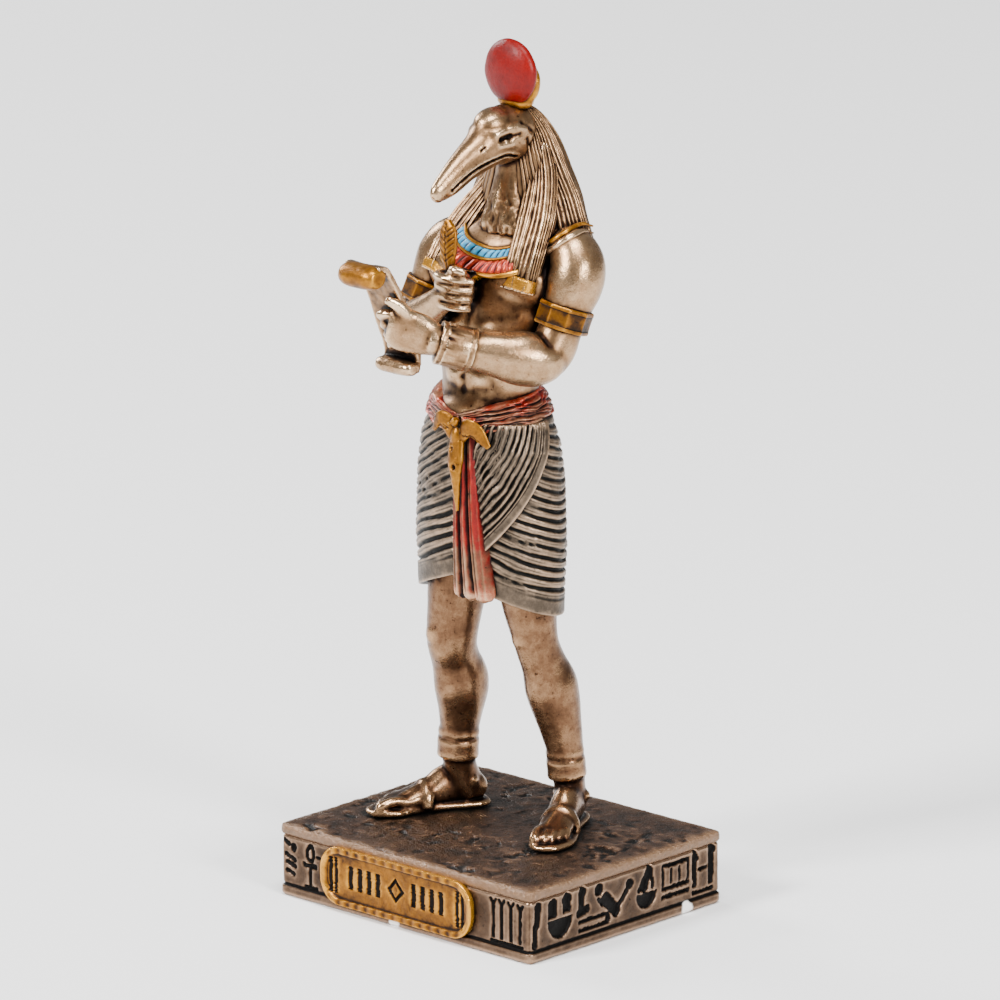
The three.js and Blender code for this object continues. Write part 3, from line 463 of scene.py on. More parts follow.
def placeCamera(choice):
    turn, rise = math.radians(choice["azimuth"]), math.radians(choice["elevation"])
    back = Vector((math.sin(turn) * math.cos(rise), -math.cos(turn) * math.cos(rise), math.sin(rise)))
    aside = Vector((math.cos(turn), math.sin(turn), 0)) * choice["aside"]
    aim = (aside + Vector((0, 0, choice["aim"]))) * mm
    data = bpy.data.cameras.new("camera")
    data.lens, data.sensor_width = choice["lens"], 36
    data.clip_start, data.clip_end = 0.01, 20
    camera = bpy.data.objects.new("camera", data)
    bpy.context.scene.collection.objects.link(camera)
    camera.location = aim + back * choice["distance"] * mm
    camera.rotation_euler = (-back).to_track_quat("-Z", "Y").to_euler()
    camera.rotation_euler.rotate_axis("Z", math.radians(choice["roll"]))
    bpy.context.scene.camera = camera


placeCamera(cameraPlace)

# Trunk, arms and hands, modelled as one skin
body = {
    "trunk": [  # height, centre x, centre y, half width, half depth, turn
        [39.0, -1.2, 0.1, 6.2, 4.5, 0], [45.4, -1.2, 0.1, 5.4, 4.1, 0], [48.0, -1.2, 0.2, 5.6, 4.1, 2],
        [52.0, -0.8, 1.0, 6.8, 4.4, 6], [55.5, -0.5, 1.7, 7.7, 4.6, 9], [58.5, -0.4, 2.1, 8.0, 4.4, 10],
        [60.6, -0.1, 2.5, 7.3, 3.8, 10], [62.0, 0, 2.8, 5.4, 3.1, 8], [63.4, 0, 3.0, 3.2, 2.6, 5]],
    "muscles": [  # centre, half sizes, turn, lean
        [(-4.1, -1.3, 56.6), (3.7, 1.9, 2.9), 4, 16], [(3.2, -0.55, 56.4), (3.8, 1.9, 3.0), 14, 16],
        [(-2.5, -2.0, 51.9), (2.0, 1.5, 1.6), -6, 8], [(0.9, -1.9, 51.9), (2.1, 1.5, 1.6), 12, 8],
        [(-2.5, -2.4, 49.5), (2.0, 1.5, 1.6), -6, 6], [(0.55, -2.3, 49.5), (2.05, 1.5, 1.6), 10, 6],
        [(-2.5, -2.6, 47.0), (1.9, 1.5, 1.6), -6, 2], [(0.35, -2.5, 47.0), (1.9, 1.5, 1.6), 8, 2],
        [(-1.0, -2.6, 44.8), (2.8, 1.6, 2.2), 0, -4],
        [(-1.2, -2.3, 42.6), (4.8, 2.9, 3.0), 0, 0], [(-5.0, -0.9, 48.4), (1.5, 2.6, 3.6), 30, 4],
        [(3.0, -0.9, 48.3), (1.7, 2.6, 3.6), -20, 4], [(-5.2, 2.2, 53.4), (1.9, 2.8, 5.4), 6, 6],
        [(4.5, 3.1, 53.4), (2.0, 2.8, 5.4), 6, 6], [(-3.6, 5.0, 57.0), (3.4, 1.6, 4.0), 8, -8],
        [(3.0, 5.9, 57.0), (3.4, 1.6, 4.0), 8, -8]],
    "leftUpper": [
        [5.2, 2.6, 60.3, 1.8, 2.0], [7.3, 2.6, 60.1, 2.5, 2.6], [8.5, 2.3, 58.6, 2.7, 2.9],
        [8.6, 1.7, 56.8, 2.7, 2.9], [8.4, 1.0, 55.0, 2.35, 2.55], [8.2, 0.2, 52.9, 2.1, 2.3],
        [8.0, -0.7, 50.9, 2.2, 2.35], [7.7, -1.6, 49.4, 2.0, 2.0]],
    "leftFore": [
        [8.3, -0.8, 50.7, 1.8, 1.9], [7.8, -2.2, 50.0, 2.5, 2.35], [6.7, -4.1, 50.3, 2.75, 2.4],
        [4.9, -6.6, 51.0, 2.15, 1.95], [2.7, -9.2, 51.8, 1.65, 1.55], [1.0, -11.0, 52.7, 1.5, 1.5]],
    "rightUpper": [
        [-5.2, 1.5, 59.3, 1.8, 2.0], [-7.2, 1.5, 59.1, 2.4, 2.5], [-8.5, 1.3, 57.6, 2.65, 2.7],
        [-9.0, 0.8, 55.9, 2.5, 2.6], [-9.4, 0.2, 54.2, 2.2, 2.3], [-9.8, -0.4, 52.4, 2.1, 2.15],
        [-10.2, -1.2, 50.4, 2.2, 2.2], [-10.2, -1.8, 49.4, 1.8, 1.8]],
    "rightFore": [
        [-10.5, -1.3, 49.9, 1.8, 1.9], [-10.0, -2.2, 50.0, 2.2, 2.2], [-8.3, -3.3, 51.2, 2.3, 2.2],
        [-6.0, -4.2, 52.8, 1.8, 1.7], [-3.6, -4.9, 54.4, 1.45, 1.35], [-2.2, -5.1, 55.3, 1.4, 1.4]],
    "leftPalm": [
        [1.6, -10.3, 52.3, 1.6, 1.25], [0.2, -11.8, 53.1, 2.2, 1.1], [-1.1, -13.0, 53.6, 2.2, 0.95],
        [-2.0, -13.7, 53.9, 1.6, 0.7]],
    "leftThumb": [
        [0.0, -12.2, 54.4, 0.8, 0.8], [-0.6, -13.5, 56.0, 0.65, 0.6], [-1.3, -14.7, 56.9, 0.45, 0.4]],
    "creases": [  # path, width, depth
        ([(-0.9, -4, 57.5), (-0.9, -4, 54.6), (-1.0, -4, 52.0), (-1.1, -4, 45.5)], 0.3, 0.14),
        ([(-3.9, -4, 50.8), (-0.9, -5, 50.6), (2.3, -4, 50.7)], 0.3, 0.12),
        ([(-4.0, -4, 48.3), (-1.0, -5, 48.1), (2.1, -4, 48.2)], 0.3, 0.12),
        ([(-3.6, -4, 46.0), (-1.0, -5, 45.9), (1.7, -4, 46.0)], 0.3, 0.1),
        ([(-4.4, -4, 53.6), (-2.6, -4, 53.2), (-0.9, -4, 53.6), (1.6, -4, 53.1), (4.6, -3, 53.6)], 0.7, 0.12),
        ([(-1.05, -5, 47.1)], 0.22, 0.3)],
    "grain": 0.21,
}
upward = (0, 0, 1)
gripSide = (0.2, 0, 1)


def buildTrunk():
    rows = smoothRows(body["trunk"], steps=8)

    def place(share, turn):
        row = rows[rowAt(share, rows)]
        twist = np.radians(row[:, 5])
        x, y = row[:, 3] * np.cos(turn), row[:, 4] * np.sin(turn)
        return (row[:, 1] + x * np.cos(twist) - y * np.sin(twist),
                row[:, 2] + x * np.sin(twist) + y * np.cos(twist), row[:, 0])
    parts = [makeForm("trunk", 72, len(rows), place)]
    parts.extend(makeLump("muscle", *row) for row in body["muscles"])
    piece = joinAll("trunk", parts)
    fuse(piece, grain=0.24, softness=18)
    for path, width, depth in body["creases"]:
        carve(piece, path, width, depth)
    return piece


def leftFingers():
    fingers = []
    for row, height in enumerate((55.0, 53.9, 52.8, 51.7)):
        fingers.append(makeLimb("finger", [
            [-0.9, -12.7 + 0.25 * row, height, 0.52, 0.6], [-2.0, -13.7 + 0.4 * row, height + 0.1, 0.5, 0.6],
            [-2.9, -13.8 + 0.5 * row, height - 0.1, 0.47, 0.5],
            [-3.5, -13.3 + 0.55 * row, height - 0.3, 0.25, 0.3]],
            gripSide, around=14))
    return fingers


def rightFingers():
    fingers = [makeLump("palm", (-1.4, -4.6, 56.0), (2.0, 1.5, 2.2), turn=10)]
    for row in range(4):
        low = 0.95 * row
        fingers.append(makeLimb("finger", [
            [-1.4, -4.1, 57.4 - low, 0.45, 0.6], [-3.0, -5.1 + 0.1 * row, 57.5 - low, 0.45, 0.6],
            [-2.1, -6.2 + 0.1 * row, 57.5 - low, 0.42, 0.55], [-0.3, -5.9 + 0.1 * row, 57.3 - low, 0.4, 0.5],
            [0.9 - 0.2 * row, -4.4, 57.1 - low, 0.35, 0.4]], upward, around=14))
    fingers.append(makeLimb("thumb", [
        [-1.5, -4.9, 57.6, 0.6, 0.55], [-0.6, -5.9, 58.3, 0.55, 0.5], [0.7, -5.4, 58.1, 0.4, 0.4]],
        upward, around=14))
    return fingers


def buildSkin(trunk):
    parts = [trunk]
    for key, side in (("leftUpper", (1, 0, 0)), ("leftFore", upward), ("rightUpper", (1, 0, 0)),
                      ("rightFore", upward), ("leftPalm", gripSide), ("leftThumb", gripSide)):
        parts.append(makeLimb(key, body[key], side, 28))
    parts.extend(leftFingers())
    parts.extend(rightFingers())
    skin = joinAll("bodySkin", parts)
    fuse(skin, body["grain"], softness=5)
    return roughen(skin, size=1.1, height=0.02, seed=3)


trunk = buildTrunk()
skin = buildSkin(trunk)
skinTree = BVHTree.FromObject(skin, bpy.context.evaluated_depsgraph_get())
finishPiece(skin, "bronze")
print("body skin made:", len(skin.data.polygons), "faces")

# Legs and sandalled feet
legs = {
    "right": [
        [-4.4, 0.3, 34, 3.4, 3.5], [-5.3, 0, 27.5, 3.2, 3.3], [-5.5, -0.5, 23, 2.85, 2.95],
        [-5.9, -0.7, 18.6, 2.5, 2.6], [-6.2, 0.1, 16.3, 2.4, 2.5], [-6.3, 1.1, 13.4, 2.6, 3.0],
        [-6.8, 1.4, 9.8, 2.05, 2.25], [-7.2, 1.5, 6.4, 1.65, 1.85], [-7.3, 1.9, 4.4, 1.5, 1.75],
        [-7.2, 2.5, 2.6, 1.45, 1.8], [-7.0, 3.0, 1.2, 1.1, 1.4]],
    "left": [
        [1.9, 0.3, 34, 3.4, 3.5], [2.5, 0.9, 27.5, 3.0, 3.2], [3.05, 1.2, 23, 2.55, 2.8],
        [3.6, 1.5, 19.6, 2.05, 2.4], [3.85, 2.3, 17.2, 2.05, 2.45], [4.05, 3.3, 14.4, 2.5, 2.85],
        [4.55, 4.1, 10.2, 2.05, 2.2], [5.0, 4.6, 6.4, 1.6, 1.75], [4.95, 4.9, 4.4, 1.45, 1.7],
        [4.7, 5.3, 2.6, 1.4, 1.75], [4.4, 5.7, 1.2, 1.05, 1.35]],
    "knees": [[(-6.1, -2.6, 19.2), (1.4, 0.9, 1.5), 0, 8], [(3.4, -0.3, 20.2), (1.3, 0.9, 1.4), 0, 8]],
    "grain": 0.21,
}
feet = {
    "right": {"heel": (-6.2, 5.0), "toe": (-12.4, -6.6), "inner": 1,
              "ankle": ((-7.2, 1.4, 5.5), (-7.0, 1.4, 8.4)), "band": 2.15},
    "left": {"heel": (3.5, 7.6), "toe": (9.8, -4.0), "inner": -1,
             "ankle": ((4.95, 4.6, 5.1), (4.75, 4.4, 7.9)), "band": 2.0},
    "length": 13.1,
    "outline": [  # half the sole at each side, from the heel to the toes
        (0.0, 0.9, 0.9), (0.06, 1.45, 1.45), (0.15, 1.7, 1.6), (0.38, 1.6, 1.5), (0.62, 2.1, 1.7),
        (0.78, 2.2, 2.2), (0.9, 1.6, 1.95), (0.97, 0.9, 1.4), (1.0, 0.2, 0.6)],
    "sole": 0.62,
    "soleEdge": [  # share of the sole's height, and how far the edge stands out there
        [0, -0.25], [0.02, -0.02], [0.2, 0.06], [0.8, 0.06], [0.98, -0.02], [1, -0.3]],
}


def footPlace(choice, points):  # from the foot's own axes to the figure's
    heel, toe = np.array(choice["heel"]), np.array(choice["toe"])
    ahead = (toe - heel) / np.linalg.norm(toe - heel)
    across = np.array([-ahead[1], ahead[0]])
    flat = heel + points[:, :1] * across + points[:, 1:2] * ahead
    return np.column_stack([flat, points[:, 2]])


def buildFoot(choice):
    inner = choice["inner"]
    length = feet["length"]
    outline = smoothRows(feet["outline"], steps=5)
    soleLine = smoothRows(feet["soleEdge"], steps=3)

    def place(share, turn):  # the sole: rings of the outline from the ground up
        along = (1 - np.cos(turn)) / 2
        left = np.interp(along, outline[:, 0], outline[:, 1])
        right = np.interp(along, outline[:, 0], outline[:, 2])
        grow = np.interp(share, np.linspace(0, 1, len(soleLine)), soleLine[:, 1])
        height = np.interp(share, np.linspace(0, 1, len(soleLine)), soleLine[:, 0]) * feet["sole"]
        side = np.where(np.sin(turn) > 0, -left - grow, right + grow)
        side = side * np.clip(np.abs(np.sin(turn)) * 3.5, 0, 1)
        return inner * side, along * length + np.sign(along - 0.5) * grow, height
    sole = makeForm("sole", 96, len(soleLine), place)
    foot = makeLimb("foot", [
        [0, 0.6, 1.5, 1.0, 0.9], [0, 2.0, 2.0, 1.5, 1.8], [0, 4.2, 2.3, 1.5, 2.3],
        [0.05 * inner, 6.4, 1.7, 1.6, 1.55], [0.05 * inner, 8.4, 1.3, 1.8, 1.05],
        [0.05 * inner, 10.0, 1.05, 1.75, 0.75]])
    toes = []
    for x, start, end, half in ((1.35, 9.4, 12.5, 0.55), (0.45, 9.6, 12.2, 0.42), (-0.3, 9.4, 11.8, 0.4),
                                (-0.95, 9.1, 11.2, 0.38), (-1.5, 8.8, 10.5, 0.36)):
        toes.append(makeLimb("toe", [
            [inner * x * 0.9, start, 1.35, half, half],
            [inner * x, (start + end) / 2, 1.4, half * 0.95, half],
            [inner * x, end - 0.45, 1.05, half * 1.02, half * 0.9],
            [inner * x, end, 0.9, half * 0.5, half * 0.5]],
            (1, 0, 0), around=14))
        nailPlace = (inner * x, end - 0.35, 1.05 + half * 0.75)
        toes.append(makeLump("nail", nailPlace, (half * 0.6, 0.3, 0.12), lean=-24))
    ankles = [makeLump("ankleBone", (side * 1.45, 2.3, 2.9), (0.5, 0.65, 0.6)) for side in (1, -1)]
    thong = makeLimb("thong", [
        [inner * 0.9, 11.2, 1.2, 0.2, 0.16], [inner * 0.7, 9.6, 1.95, 0.22, 0.16],
        [inner * 0.3, 7.6, 2.7, 0.26, 0.18], [0, 5.9, 3.6, 0.26, 0.18]], (1, 0, 0), around=12)
    arch = [(math.cos(math.pi * k / 8) * 2.0, math.sin(math.pi * k / 8) * 2.45 + 0.55) for k in range(9)]
    strap = makeLimb("strap", [[x, 7.2 - 0.3 * z / 3, z, 0.55, 0.22] for x, z in arch], (0, 1, 0), 14)
    foot = joinAll("foot", [foot, sole, thong, strap, *ankles, *toes])
    writePoints(foot, footPlace(choice, readPoints(foot)))
    faceOutwards(foot)
    return foot


def buildAnklet(choice):
    low, high = (np.array(end) for end in choice["ankle"])
    rings = []
    for start, end, radius in ((0.0, 0.7, choice["band"]), (0.72, 0.84, choice["band"] - 0.2),
                               (0.84, 1.0, choice["band"] - 0.02)):
        a, b = low + (high - low) * start, low + (high - low) * end
        rings.append(makeLimb("anklet", [
            [*a, radius - 0.1, radius - 0.1], [*(a * 0.93 + b * 0.07), radius, radius],
            [*(a * 0.5 + b * 0.5), radius - 0.04, radius - 0.04], [*(a * 0.07 + b * 0.93), radius, radius],
            [*b, radius - 0.1, radius - 0.1]], (1, 0, 0), around=40))
    return rings


def buildLegs():
    parts = [makeLimb("leg", legs[side], (1, 0, 0), around=32) for side in ("right", "left")]
    parts.extend(makeLump("knee", *row) for row in legs["knees"])
    for side in ("right", "left"):
        parts.append(buildFoot(feet[side]))
        parts.extend(buildAnklet(feet[side]))
    piece = joinAll("legsAndSandals", parts)
    fuse(piece, legs["grain"], softness=4)
    roughen(piece, size=0.9, height=0.018, seed=5)
    points = readPoints(piece)
    points[:, 2] = np.maximum(points[:, 2], 0)
    writePoints(piece, points)
    return piece


legPiece = finishPiece(buildLegs(), "leg")
print("legs made:", len(legPiece.data.polygons), "faces")

# Kilt with pleats that fall from the front, a wrap panel with steep pleats and a smooth hem
kilt = {
    "centre": (-1.2, 0.1),
    "rows": [  # height, half width, half depth
        (20.0, 8.4, 5.4), (24.8, 8.6, 5.6), (29.9, 8.9, 5.8), (36.7, 8.6, 5.8), (40.2, 8.1, 5.5),
        (43.9, 6.45, 5.0), (45.4, 5.7, 4.4), (49.0, 5.2, 4.0)],
    "sash": [(41.0, 7.9, 5.6), (43.9, 6.45, 5.1), (45.4, 5.65, 4.5), (47.0, 5.3, 4.1)],
    "hemFront": 27.0, "hemDrop": 4.1, "hemTop": 28.7, "pleatTop": 51.5, "pleatDrop": 7.6,
    "pleats": 19, "pleatDepth": 0.34, "panelLift": 0.42, "panelPleats": 10,
}


def onOutline(rows, angle, height, lift):  # angles in degrees from the front, towards the left hand
    places, wide, deep = np.array(rows).T
    turn = np.radians(angle)
    return (kilt["centre"][0] + (np.interp(height, places, wide) + lift) * np.sin(turn),
            kilt["centre"][1] - (np.interp(height, places, deep) + lift) * np.cos(turn), height)


def fallOf(angle):
    return np.sin(np.radians(0.75 * np.minimum(np.abs(angle), 120)))


def pleatLift(phase, sharp=0.75):  # rounded folds with a narrow dark slot between them
    wave = np.abs(np.mod(phase, 1) - 0.5) * 2
    return 1 - np.clip((wave - sharp) / (1 - sharp), 0, 1) ** 0.8 - 0.25 * wave ** 2


def kiltLift(angle, height):
    front = height + kilt["pleatDrop"] * fallOf(angle)
    hemLine = kilt["hemFront"] - kilt["hemDrop"] * fallOf(angle)
    share = (height - hemLine) / (kilt["pleatTop"] - kilt["pleatDrop"] * fallOf(angle) - hemLine)
    start = (kilt["hemTop"] - kilt["hemFront"]) / (kilt["pleatTop"] - kilt["hemFront"])
    bearing = np.radians(angle)
    spots = np.stack([np.sin(bearing) * 7, height, np.cos(bearing) * 7], axis=1)
    wobble = 0.3 * layeredNoise(spots * (0.5, 1, 0.5), 3.0, seed=7, layers=2)
    phase = (share - start) / (1 - start) * kilt["pleats"] + wobble
    sharp = np.clip(0.72 + 0.3 * layeredNoise(spots * (0.35, 1, 0.35), 2.2, seed=9, layers=3), 0.45, 0.93)
    folds = kilt["pleatDepth"] * (pleatLift(phase, sharp) - 1)
    folds = folds - 0.1 * np.abs(np.sin(phase * math.pi * 3)) ** 4
    smooth = np.clip((share - start) / 0.02, 0, 1)
    return folds * smooth


def buildKilt():
    around, along = 330, 156
    hem = 0.1  # the share of the rows that turns under, up into the hollow between the legs

    def place(share, turn):
        angle = np.degrees(turn) - 180
        hemLine = kilt["hemFront"] - kilt["hemDrop"] * fallOf(angle)
        rise = np.clip((share - hem) / (1 - hem), 0, 1)
        top = kilt["pleatTop"] - kilt["pleatDrop"] * fallOf(angle)
        height = hemLine + (top - hemLine) * rise  # rows follow the pleats, up to the sash
        height = np.minimum(height, 42.2 + 2 * fallOf(angle))
        lift = kiltLift(angle, height)
        inside = share < hem
        under = np.clip((hem - share) / hem, 0, 1)
        x, y, z = onOutline(kilt["rows"], angle, height, np.where(inside, -1.6 * under, lift))
        z = np.where(inside, height + 1.4 * under ** 2, z)
        x = np.where(inside, kilt["centre"][0] + (x - kilt["centre"][0]) * (1 - 0.25 * under ** 3), x)
        y = np.where(inside, kilt["centre"][1] + (y - kilt["centre"][1]) * (1 - 0.25 * under ** 3), y)
        return x, y, z
    return roughen(makeForm("pleatedKilt", around, along, place), size=0.8, height=0.02, seed=11)


def buildPanel():
    around, along = 210, 100  # around: across the panel and back; along: down its pleats
    plain = 0.15  # the share of its width beside the edge that has no pleats

    def place(share, turn):
        across = np.abs(turn / math.pi - 1)  # 0 to 1 twice: the outer face, then the hidden one
        outer = turn < math.pi
        topAngle, footAngle = 97 - 69 * across, 26 - 8 * across
        footHeight = 29.8 + 9.8 * across
        angle = topAngle + (footAngle - topAngle) * share
        height = 42.9 + (footHeight - 42.9) * share - 0.9 * (1 - across) * np.sin(np.pi * share)
        spots = np.stack([across * 9, share * 9, 0 * share], axis=1)
        wobble = 0.35 * layeredNoise(spots, 3.0, seed=8, layers=2)
        phase = (across - plain) / (1 - plain) * kilt["panelPleats"] + wobble
        sharp = np.clip(0.74 + 0.3 * layeredNoise(spots, 1.6, seed=10, layers=3), 0.45, 0.93)
        folds = 0.15 + 0.8 * pleatLift(phase, sharp) - 0.2 * np.abs(np.sin(phase * math.pi * 2)) ** 3
        folds = kilt["panelLift"] * np.where(across < plain, 1, folds)
        border = np.clip(across / 0.015, 0, 1)
        seam = 0.12 * np.exp(-((across - 0.125) / 0.01) ** 2)
        lift = np.where(outer, 0.05 + (folds - seam) * border, -0.8)
        return onOutline(kilt["rows"], angle, height, lift)
    return roughen(makeForm("wrapPanel", around, along, place), size=0.7, height=0.02, seed=13)


def buildSash():
    def place(share, turn):
        angle = np.degrees(turn) - 180
        low, high = 41.2 + 1.8 * fallOf(angle), 43.7 + 2.1 * fallOf(angle)
        swell = 0.28 * np.sin(np.pi * np.clip(share, 0, 1)) ** 0.5 - 0.1
        spots = np.stack([2.2 * np.sin(turn), share * 3.2, 2.2 * np.cos(turn)], axis=1)
        crease = 0.1 * np.sin(share * 27 + 5 * layeredNoise(spots, 1.5, seed=12, layers=2))
        crease += 0.07 * np.sin(share * 52 + 9 * layeredNoise(spots, 1.1, seed=14, layers=2))
        edge = np.clip(np.minimum(share, 1 - share) / 0.06, 0, 1)
        lift = (swell + crease) * edge - 0.7 * (1 - edge)
        return onOutline(kilt["sash"], angle, low + (high - low) * share, lift)
    return roughen(makeForm("wovenSash", 300, 46, place), size=0.6, height=0.03, seed=17)


finishPiece(buildKilt(), "kilt")
finishPiece(buildPanel(), "kilt")
sashPiece = buildSash()
mark(sashPiece, "wear", 0.3 + 0.35 * layeredNoise(readPoints(sashPiece) * (1, 1, 2.5), 2.5, seed=15))
finishPiece(sashPiece, "red")
print("kilt made")

# Apron of three folds, a tapering gold pendant and a winged gold buckle
apron = {
    "rows": [  # x, y, height, half width
        [0.2, -4.9, 43.4, 1.15], [0.7, -5.5, 38.0, 1.35], [1.2, -5.9, 32.0, 1.7], [1.7, -5.8, 25.0, 2.2]],
}


def buildApron():
    line = smoothRows(apron["rows"], steps=24)

    def place(share, turn):
        row = line[rowAt(share, line)]
        across = -np.cos(turn)
        front = np.sin(turn) > 0
        fold = np.abs(np.cos(across * math.pi * 1.5)) ** 0.6
        lift = 0.25 + 0.75 * fold + 0.12 * np.sin(across * 19)
        taper = 1 - 0.6 * np.clip((share - 0.97) / 0.03, 0, 1) ** 2
        depth = np.where(front, lift * (0.75 + 0.15 * share), -0.8)
        sideFall = np.clip((np.abs(across) - 0.93) / 0.07, 0, 1) ** 3
        depth = np.where(front, depth * (1 - sideFall) - 0.6 * sideFall, depth)
        hem = 0.35 * (1 - fold) * np.clip((share - 0.9) / 0.1, 0, 1)
        return (row[:, 0] + across * row[:, 3] * 1.04,
                row[:, 1] + 0.1 - depth * taper + 0.25 * np.abs(across), row[:, 2] + hem)
    return roughen(makeForm("apronFolds", 170, len(line), place), size=0.9, height=0.025, seed=19)


def buildPendant():
    piece = makeLimb("goldPendant", [
        [0.0, -6.0, 41.2, 0.9, 0.55], [0.15, -6.45, 39.2, 0.95, 0.5], [0.45, -6.75, 37.4, 0.55, 0.4],
        [0.75, -6.8, 34.2, 0.16, 0.22]], (1, 0, 0), around=24, steps=8)
    fuse(piece, grain=0.1, softness=1)
    carve(piece, [(-0.3, -6.9, 40.4)], width=0.18, depth=0.5)
    carve(piece, [(0.25, -7, 38.6)], width=0.24, depth=0.6)
    return roughen(piece, size=0.5, height=0.03, seed=23)


def buildBuckle():
    wings = [
        makeLimb("wing", [[0.3, -5.8, 41.4, 0.7, 0.4], [1.4, -6.1, 42.6, 0.95, 0.28],
                          [2.5, -5.95, 42.4, 0.85, 0.22], [3.7, -5.4, 40.9, 0.3, 0.2]], upward, around=24),
        makeLimb("wing", [[-0.3, -5.9, 41.4, 0.7, 0.4], [-1.2, -6.2, 42.9, 0.9, 0.28],
                          [-2.2, -6.3, 43.0, 0.75, 0.22], [-3.2, -6.0, 41.7, 0.25, 0.2]], upward, around=24)]
    core = [makeLump("breast", (0, -6.0, 41.4), (0.7, 0.65, 1.3)),
            makeLump("head", (0, -6.3, 43.1), (0.42, 0.5, 0.5)),
            makeLump("beak", (-0.25, -6.8, 43.0), (0.15, 0.35, 0.15)),
            makeLump("tail", (0.05, -6.3, 40.0), (0.85, 0.4, 0.6))]
    piece = joinAll("wingedBuckle", wings + core)
    fuse(piece, grain=0.08, softness=2)
    for shift in (0.0, 0.5, 1.0):
        start, end = 0.9 + shift, 1.9 + shift
        carve(piece, [(start, -6.5, 41.8), (end, -6.4, 41.8 - 0.5 * shift)], width=0.08, depth=0.14)
        start, end = -0.8 - 0.7 * shift, -1.5 - 0.7 * shift
        carve(piece, [(start, -6.7, 42.3), (end, -6.9, 42.6 - 0.4 * shift)], width=0.08, depth=0.14)
    return roughen(piece, size=0.5, height=0.02, seed=29)


apronPiece = buildApron()
spots = readPoints(apronPiece)
rubbedAway = 0.38 + 0.5 * np.clip((33 - spots[:, 2]) / 6, 0, 1)
rubbedAway = rubbedAway + 0.5 * np.clip((26.5 - spots[:, 2]) / 1.5, 0, 1)
mark(apronPiece, "wear", rubbedAway - 0.4 * (pointNormals(apronPiece)[:, 1] > -0.55))
finishPiece(apronPiece, "red")
finishPiece(buildPendant(), "gold")
finishPiece(buildBuckle(), "gold")
print("apron made")

# Collar: bands of gold, blue and red laid over the chest
collar = {
    "inner": [(-4.9, 3.4, 62.4), (-4.4, 1.4, 61.6), (-3.6, 0.2, 60.7), (-2.3, -0.9, 60.2), (0.65, -1.4, 60.0),
              (2.4, -0.7, 60.3), (3.7, 0.2, 60.9)],
    "outer": [(-8.0, 2.6, 61.0), (-7.4, 0.4, 60.4), (-6.3, -1.4, 59.3), (-4.9, -3.0, 57.6),
              (-1.6, -3.6, 57.0), (2.2, -3.0, 57.0), (4.6, -1.9, 57.5)],
    "shoulder": [(4.2, -1.4, 58.6), (5.2, -0.4, 59.4), (5.9, 0.5, 59.9), (7.0, 1.8, 61.1), (8.2, 3.3, 62.1),
                 (8.5, 4.6, 61.7)],
    "bands": [  # name, from, to, lift, finish
        ("goldRing", 0.0, 0.08, 0.3, "gold"), ("blueRow", 0.08, 0.32, 0.24, "blue"),
        ("goldLine", 0.32, 0.4, 0.3, "gold"), ("redRow", 0.4, 0.76, 0.22, "red"),
        ("goldRim", 0.76, 0.88, 0.3, "gold")],
}


def buildBand(name, start, end, lift):
    steps, lanes = 14, 7
    inner, outer = smoothRows(collar["inner"], steps), smoothRows(collar["outer"], steps)
    count = len(inner)
    sides, ways = np.zeros((lanes, count, 3)), np.zeros((lanes, count, 3))
    for row, share in enumerate(np.linspace(start, end, lanes)):
        for i in range(count):
            aim = Vector(inner[i] + (outer[i] - inner[i]) * share)
            hit = skinTree.find_nearest(aim)
            above = np.clip((aim - hit[0]).dot(hit[1]), 0, 0.5)  # it bridges the crease before the arm
            sides[row, i], ways[row, i] = hit[0] + hit[1] * above, hit[1]
    for _ in range(8):
        for table in (sides, ways):
            table[:, 1:-1] = (table[:, :-2] + 2 * table[:, 1:-1] + table[:, 2:]) / 4
    ways /= np.linalg.norm(ways, axis=2)[:, :, None]
    beads = name in ("blueRow", "redRow")

    def place(share, turn):
        i = rowAt(share, inner)
        across = (1 - np.cos(turn)) / 2 * (lanes - 1)
        low = np.clip(np.floor(across).astype(int), 0, lanes - 2)
        part = (across - low)[:, None]
        point = sides[low, i] * (1 - part) + sides[low + 1, i] * part
        way = ways[low, i]
        dent = 0.2 * (np.mod(i, 4) == 0) if beads else 0
        raised = np.where(np.sin(turn) > 0, lift * np.abs(np.sin(turn)) ** 0.35 - dent, -1.2)
        return (point + way * raised[:, None]).T
    return makeForm(name, 24, count, place)


for bandName, bandStart, bandEnd, bandLift, paint in collar["bands"]:
    finishPiece(buildBand(bandName, bandStart, bandEnd, bandLift), paint)


def layOnShoulder(path):  # seen from the front and the left, each place drops back to the skin
    towards = Vector((0.66, -0.7, 0.26))
    laid = []
    for spot in smoothRows(path, steps=6):
        hit = skinTree.ray_cast(Vector(spot) + towards * 9, -towards)[0]
        laid.append(list(hit) if hit else list(spot))
    laid = np.array(laid)
    for _ in range(3):
        laid[1:-1] = (laid[:-2] + 2 * laid[1:-1] + laid[2:]) / 4
    return laid


# Over the left shoulder the collar shows as a cast rim with a gold row inside it
for bandName, inward, half, paint in (
        ("shoulderRim", 0.0, 0.36, "bronze"), ("shoulderGold", 0.8, 0.3, "gold")):
    path = layOnShoulder(np.array(collar["shoulder"]) + (-0.45 * inward, 0.35 * inward, 0.75 * inward))
    thin = np.clip(np.minimum(np.arange(len(path)), np.arange(len(path))[::-1]) / 8, 0.3, 1)
    rows = [[*spot, half * part, half * part] for spot, part in zip(path, thin)]
    rim = makeLimb(bandName, rows, upward, steps=3)
    roughen(rim, size=0.8, height=0.04, seed=35)
    finishPiece(rim, paint)
print("collar made")

